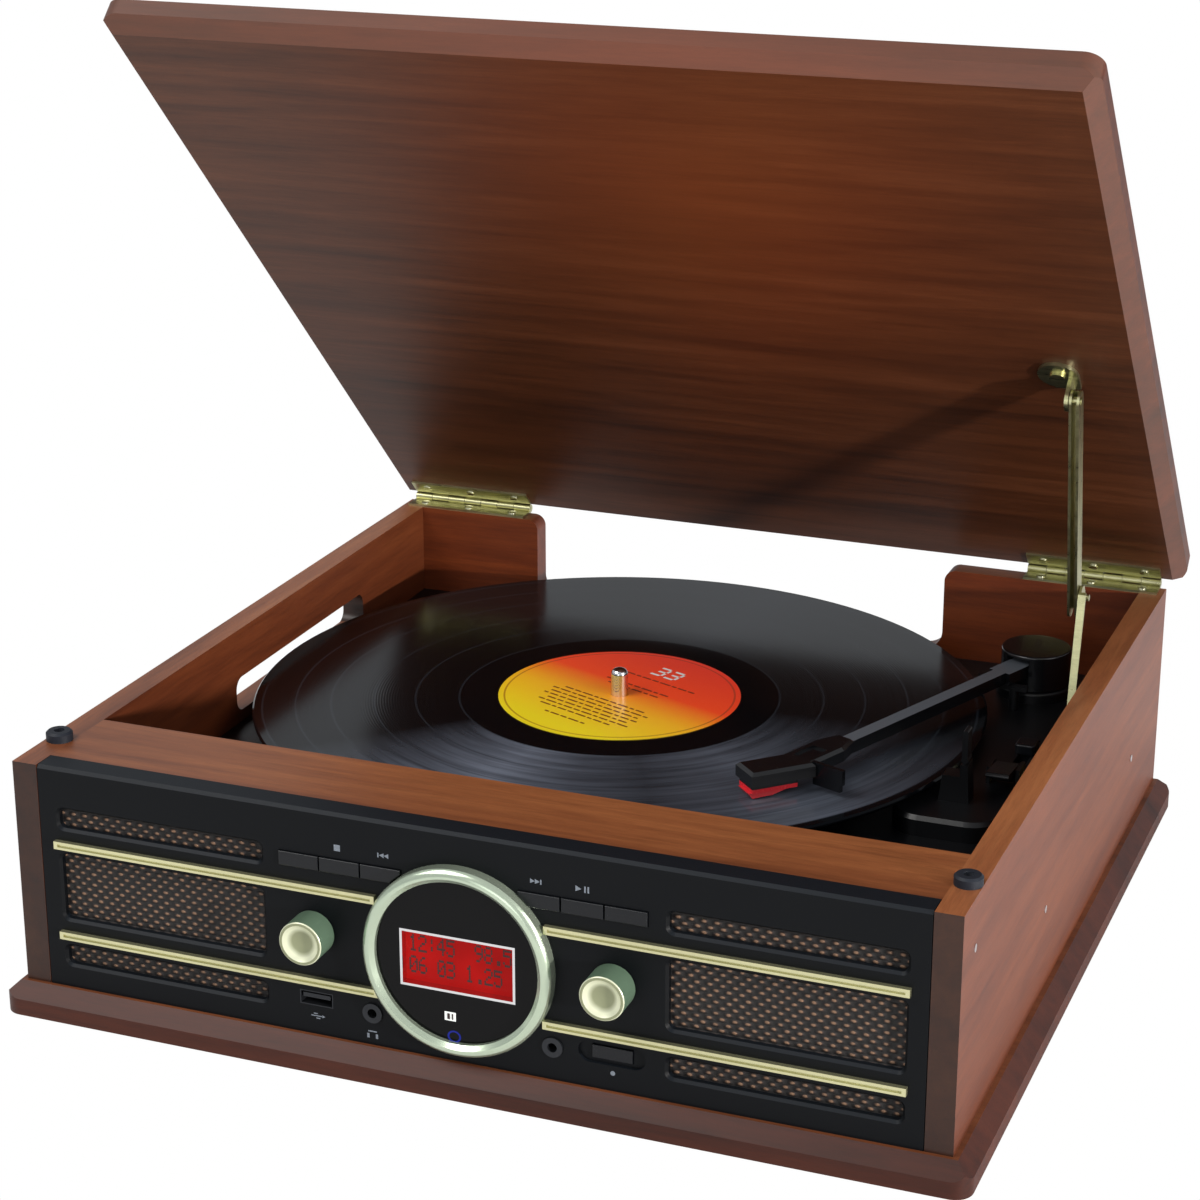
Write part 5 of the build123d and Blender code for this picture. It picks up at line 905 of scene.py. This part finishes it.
class Marks:
    """Thin printed or lit marks that lie on the fascia, the dial and the record label."""

    def __init__(self, surfaces: Surfaces, sizes: MarkSizes) -> None:
        self.surfaces = surfaces
        self.sizes = sizes
        self.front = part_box("left_side_panel")[0][1] / MM

    def _mesh(
        self, name: str, outlines: list[Outline], place: Placing, material: str, body: str
    ) -> None:
        """Makes one mesh of flat outlines.

        Args:
            name: object name.
            outlines: lists of (across, up) points in millimetres.
            place: function turning (across, up) into a point in metres.
            material: material name.
            body: body that the piece rides on.
        """
        mesh = bpy.data.meshes.new(name)
        shape = bmesh.new()
        for outline in outlines:
            shape.faces.new([shape.verts.new(place(a, b)) for a, b in outline])
        thick = bmesh.ops.extrude_face_region(shape, geom=shape.faces[:])
        moved = [v for v in thick["geom"] if isinstance(v, bmesh.types.BMVert)]
        step = place(0.0, 0.0, self.sizes.thickness) - place(0.0, 0.0)
        bmesh.ops.translate(shape, verts=moved, vec=step)
        bmesh.ops.recalc_face_normals(shape, faces=shape.faces[:])
        shape.to_mesh(mesh)
        shape.free()
        piece = bpy.data.objects.new(name, mesh)
        bpy.context.scene.collection.objects.link(piece)
        mesh.materials.append(self.surfaces.made[material])
        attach(piece, body)
        log.info("%s: %d outlines", name, len(outlines))

    def _on_front(self, depth_mm: float) -> Placing:
        """Placement on a plane parallel to the fascia, depth_mm in front of the cabinet's face."""

        def place(across: float, up: float, out: float = 0.0) -> Vector:
            return Vector((across * MM, (self.front - depth_mm - self.sizes.lift - out) * MM, up * MM))

        return place

    def build(self) -> None:
        """Makes all marks."""
        icons = self._button_icons() + self._socket_icons()
        self._mesh("printed_icons", icons, self._on_front(0.0), "print_grey", "cabinet")
        self._dial_marks()
        self._display()
        self._label_marks()

    def _button_icons(self) -> list[Outline]:
        """Stop, skip back, skip on, and play with pause, over the buttons."""
        m = self.sizes
        up = m.icon_up
        icons = [bar(m.stop_across, up, m.icon, m.icon)]
        for way, x in m.skips:
            icons += [triangle(x + side * m.skip_spread, up, m.skip_arrow, way) for side in (-1, 1)]
            icons.append(bar(x + way * m.skip_bar_reach, up, m.skip_bar, m.skip_arrow))
        icons.append(triangle(m.play_across, up, m.play_arrow, 1))
        icons += [bar(x, up, m.pause_bar, m.icon) for x in m.pause_across]
        return icons

    def _socket_icons(self) -> list[Outline]:
        """Headphones, a branching line and a dot, near the sockets and the record button."""
        m = self.sizes
        x, z = m.phones
        icons = [bar(x + side * m.ear_reach, z, m.ear_width, m.ear_height) for side in (-1, 1)]
        icons.append(bar(x, z + m.ear_height, 2 * m.ear_reach, m.phones_band))
        x, z = m.branch
        icons += [bar(x, z, m.stem_length, m.branch_line), triangle(x + m.tip_reach, z, m.tip, 1)]
        for side in (-1, 1):
            icons.append(bar(x + side * m.twig_shift, z - side * m.twig_rise, m.twig_length, m.branch_line))
        x, z = m.dot
        turns = [side * FULL_TURN / m.dot_sides for side in range(m.dot_sides)]
        icons.append([(x + m.dot_radius * math.cos(a), z + m.dot_radius * math.sin(a)) for a in turns])
        return icons

    def _dial_marks(self) -> None:
        """White square with two dark bars and a blue ring, on the dial's lens."""
        m = self.sizes
        dial = self._on_front(m.dial_depth)
        self._mesh("dial_square", [bar(*m.square)], dial, "mark_white", "cabinet")
        inner = [bar(x, m.square[1], width, m.square_bar_height) for x, width in m.square_bars]
        over = self._on_front(m.dial_depth + m.square_bar_lift)
        self._mesh("dial_square_inner", inner, over, "display_ink", "cabinet")
        x, z = m.ring
        step = FULL_TURN / m.ring_steps
        ring = []
        for n in range(m.ring_steps):
            first, second = n * step, (n + 1) * step
            corners = (
                (m.ring_inner, first),
                (m.ring_inner, second),
                (m.ring_outer, second),
                (m.ring_outer, first),
            )
            ring.append([(x + r * math.cos(a), z + m.ring_squash * r * math.sin(a)) for r, a in corners])
        self._mesh("dial_blue_ring", ring, dial, "mark_blue", "cabinet")

    def _display(self) -> None:
        """Two lines of dark characters on the lit display."""
        m = self.sizes
        low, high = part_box("display_screen")
        screen = self._on_front(-low[1] / MM + self.front)
        left = low[0] / MM + m.display_left
        dots = []
        for row, line in enumerate(m.display_lines):
            top = high[2] / MM - m.display_top - row * m.display_pitch
            dots += sign_dots(line, left, top, m.display_signs)
        self._mesh("display_digits", dots, screen, "display_ink", "cabinet")

    def _label_marks(self) -> None:
        """Rows of plain bars and a plain number on the record label."""
        m = self.sizes
        disc = centre_of("record")
        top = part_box("record_label")[1][2]
        turn = Matrix.Rotation(math.radians(m.label_turn), 3, "Z")

        def place(across: float, up: float, out: float = 0.0) -> Vector:
            flat = turn @ Vector((across * MM, up * MM, 0.0))
            return Vector((disc.x + flat.x, disc.y + flat.y, top + (m.lift + out) * MM))

        bars = []
        for row, (up, width) in enumerate(m.label_rows):
            left = -width / 2
            step = 0
            while left < width / 2:
                length = m.word_lengths[(row + step) % len(m.word_lengths)]
                bars.append(bar(left + length / 2, up, length, m.word_height))
                left += length + m.word_gap
                step += 1
        self._mesh("label_rows", bars, place, "label_ink", "platter")
        dots = sign_dots(m.number, *m.number_place, m.number_signs)
        self._mesh("label_number", dots, place, "mark_white", "platter")


@dataclass(frozen=True)
class Lamp:
    """Soft box: its place and width in metres, its power in watts and its tint."""

    name: str
    place: Point
    size: float
    power: float
    tint: tuple[float, float, float]


@dataclass(frozen=True)
class StageSizes:
    """Floor, surroundings and where the lamps aim."""

    floor_half: float = 6.0
    floor_grey: Colour = (0.82, 0.82, 0.82, 1.0)
    white: Colour = (1.0, 1.0, 1.0, 1.0)
    sky: Colour = (0.93, 0.96, 1.0, 1.0)
    sky_strength: float = 0.55
    lamp_aim: Point = (0.0, 0.0, 0.1)
    lamp_aspect: float = 0.8


@dataclass(frozen=True)
class PhotoCamera:
    """Camera solved from the photograph: lens in millimetres, places in metres."""

    lens: float = 84.45
    sensor: float = 36.0
    place: Point = (0.3677, -0.9780, 0.5034)
    forward: Point = (-0.3441, 0.8786, -0.3313)
    clip_start: float = 0.05
    clip_end: float = 60.0
    pixels: int = 1200


LAMPS = (
    Lamp("key_left", (-0.9, -0.9, 1.5), size=1.1, power=22.0, tint=(1.0, 0.98, 0.95)),
    Lamp("fill_right", (1.5, -0.5, 0.9), size=0.9, power=7.0, tint=(1.0, 0.97, 0.95)),
    Lamp("front_low", (0.1, -2.0, 0.55), size=0.9, power=3.5, tint=(1.0, 1.0, 1.0)),
    # Small and off to the right, so that the stay throws its shadow on the lid.
    Lamp("stay_shadow", (1.91, -0.85, 0.28), size=0.10, power=46.0, tint=(1.0, 0.96, 0.93)),
)


class Studio:
    """White floor and backdrop, soft lights and the camera at the photograph's place."""

    def __init__(self, sizes: StageSizes, camera: PhotoCamera) -> None:
        self.sizes = sizes
        self.camera = camera

    def build(self) -> None:
        """Builds the stage, lights and camera."""
        self._floor()
        self._world()
        for lamp in LAMPS:
            self._light(lamp)
        self._camera()

    def _seen_as(
        self, tree: bpy.types.NodeTree, seen: bpy.types.Node, otherwise: bpy.types.Node, output: str
    ) -> None:
        """Shows one shader to the camera and another to every other ray.

        Args:
            tree: node tree of the material or the world.
            seen: shader node that the camera sees.
            otherwise: shader node that lights and mirrors see.
            output: type name of the output node.
        """
        camera_ray = add_node(tree, "ShaderNodeLightPath").outputs["Is Camera Ray"]
        inputs = {0: camera_ray, 1: otherwise.outputs[0], 2: seen.outputs[0]}
        add_node(tree, output, {"Surface": add_node(tree, "ShaderNodeMixShader", inputs).outputs[0]})

    def _floor(self) -> None:
        """Wide pale floor that reads as plain white where the camera sees it."""
        mesh = bpy.data.meshes.new("studio_floor")
        shape = bmesh.new()
        bmesh.ops.create_grid(shape, x_segments=2, y_segments=2, size=self.sizes.floor_half)
        shape.to_mesh(mesh)
        shape.free()
        floor = bpy.data.objects.new("studio_floor", mesh)
        bpy.context.scene.collection.objects.link(floor)
        material = bpy.data.materials.new("studio_white")
        material.use_nodes = True
        tree = material.node_tree
        tree.nodes.clear()
        paint = add_node(tree, "ShaderNodeBsdfDiffuse", {"Color": self.sizes.floor_grey})
        glow = add_node(tree, "ShaderNodeEmission", {"Color": self.sizes.white, "Strength": 1.0})
        self._seen_as(tree, glow, paint, "ShaderNodeOutputMaterial")
        mesh.materials.append(material)

    def _world(self) -> None:
        """Even light-grey surroundings for reflections, white for the camera."""
        world = bpy.data.worlds.new("studio_world")
        bpy.context.scene.world = world
        world.use_nodes = True
        tree = world.node_tree
        tree.nodes.clear()
        sky = {"Color": self.sizes.sky, "Strength": self.sizes.sky_strength}
        soft = add_node(tree, "ShaderNodeBackground", sky)
        white = add_node(tree, "ShaderNodeBackground", {"Color": self.sizes.white, "Strength": 1.0})
        self._seen_as(tree, white, soft, "ShaderNodeOutputWorld")

    def _light(self, lamp: Lamp) -> None:
        """Adds one soft box that aims at the object."""
        data = bpy.data.lights.new(lamp.name, "AREA")
        data.shape = "RECTANGLE"
        data.size = lamp.size
        data.size_y = lamp.size * self.sizes.lamp_aspect
        data.energy = lamp.power
        data.color = lamp.tint
        holder = bpy.data.objects.new(lamp.name, data)
        holder.location = lamp.place
        aim = Vector(self.sizes.lamp_aim) - Vector(lamp.place)
        holder.rotation_euler = aim.to_track_quat("-Z", "Y").to_euler()
        bpy.context.scene.collection.objects.link(holder)

    def _camera(self) -> None:
        """Camera at the photograph's place."""
        data = bpy.data.cameras.new("photo_camera")
        data.lens = self.camera.lens
        data.sensor_width = self.camera.sensor
        data.clip_start = self.camera.clip_start
        data.clip_end = self.camera.clip_end
        holder = bpy.data.objects.new("photo_camera", data)
        holder.location = self.camera.place
        holder.rotation_euler = Vector(self.camera.forward).to_track_quat("-Z", "Y").to_euler()
        bpy.context.scene.collection.objects.link(holder)
        scene = bpy.context.scene
        scene.camera = holder
        scene.render.resolution_x = self.camera.pixels
        scene.render.resolution_y = self.camera.pixels
        scene.view_settings.view_transform = "Standard"
        scene.view_settings.look = "None"


def main() -> None:
    """Builds the looks in order."""
    surfaces = Surfaces()
    Finishes(surfaces).build()
    Marks(surfaces, MarkSizes()).build()
    Studio(StageSizes(), PhotoCamera()).build()


if __name__ == "__main__":
    main()
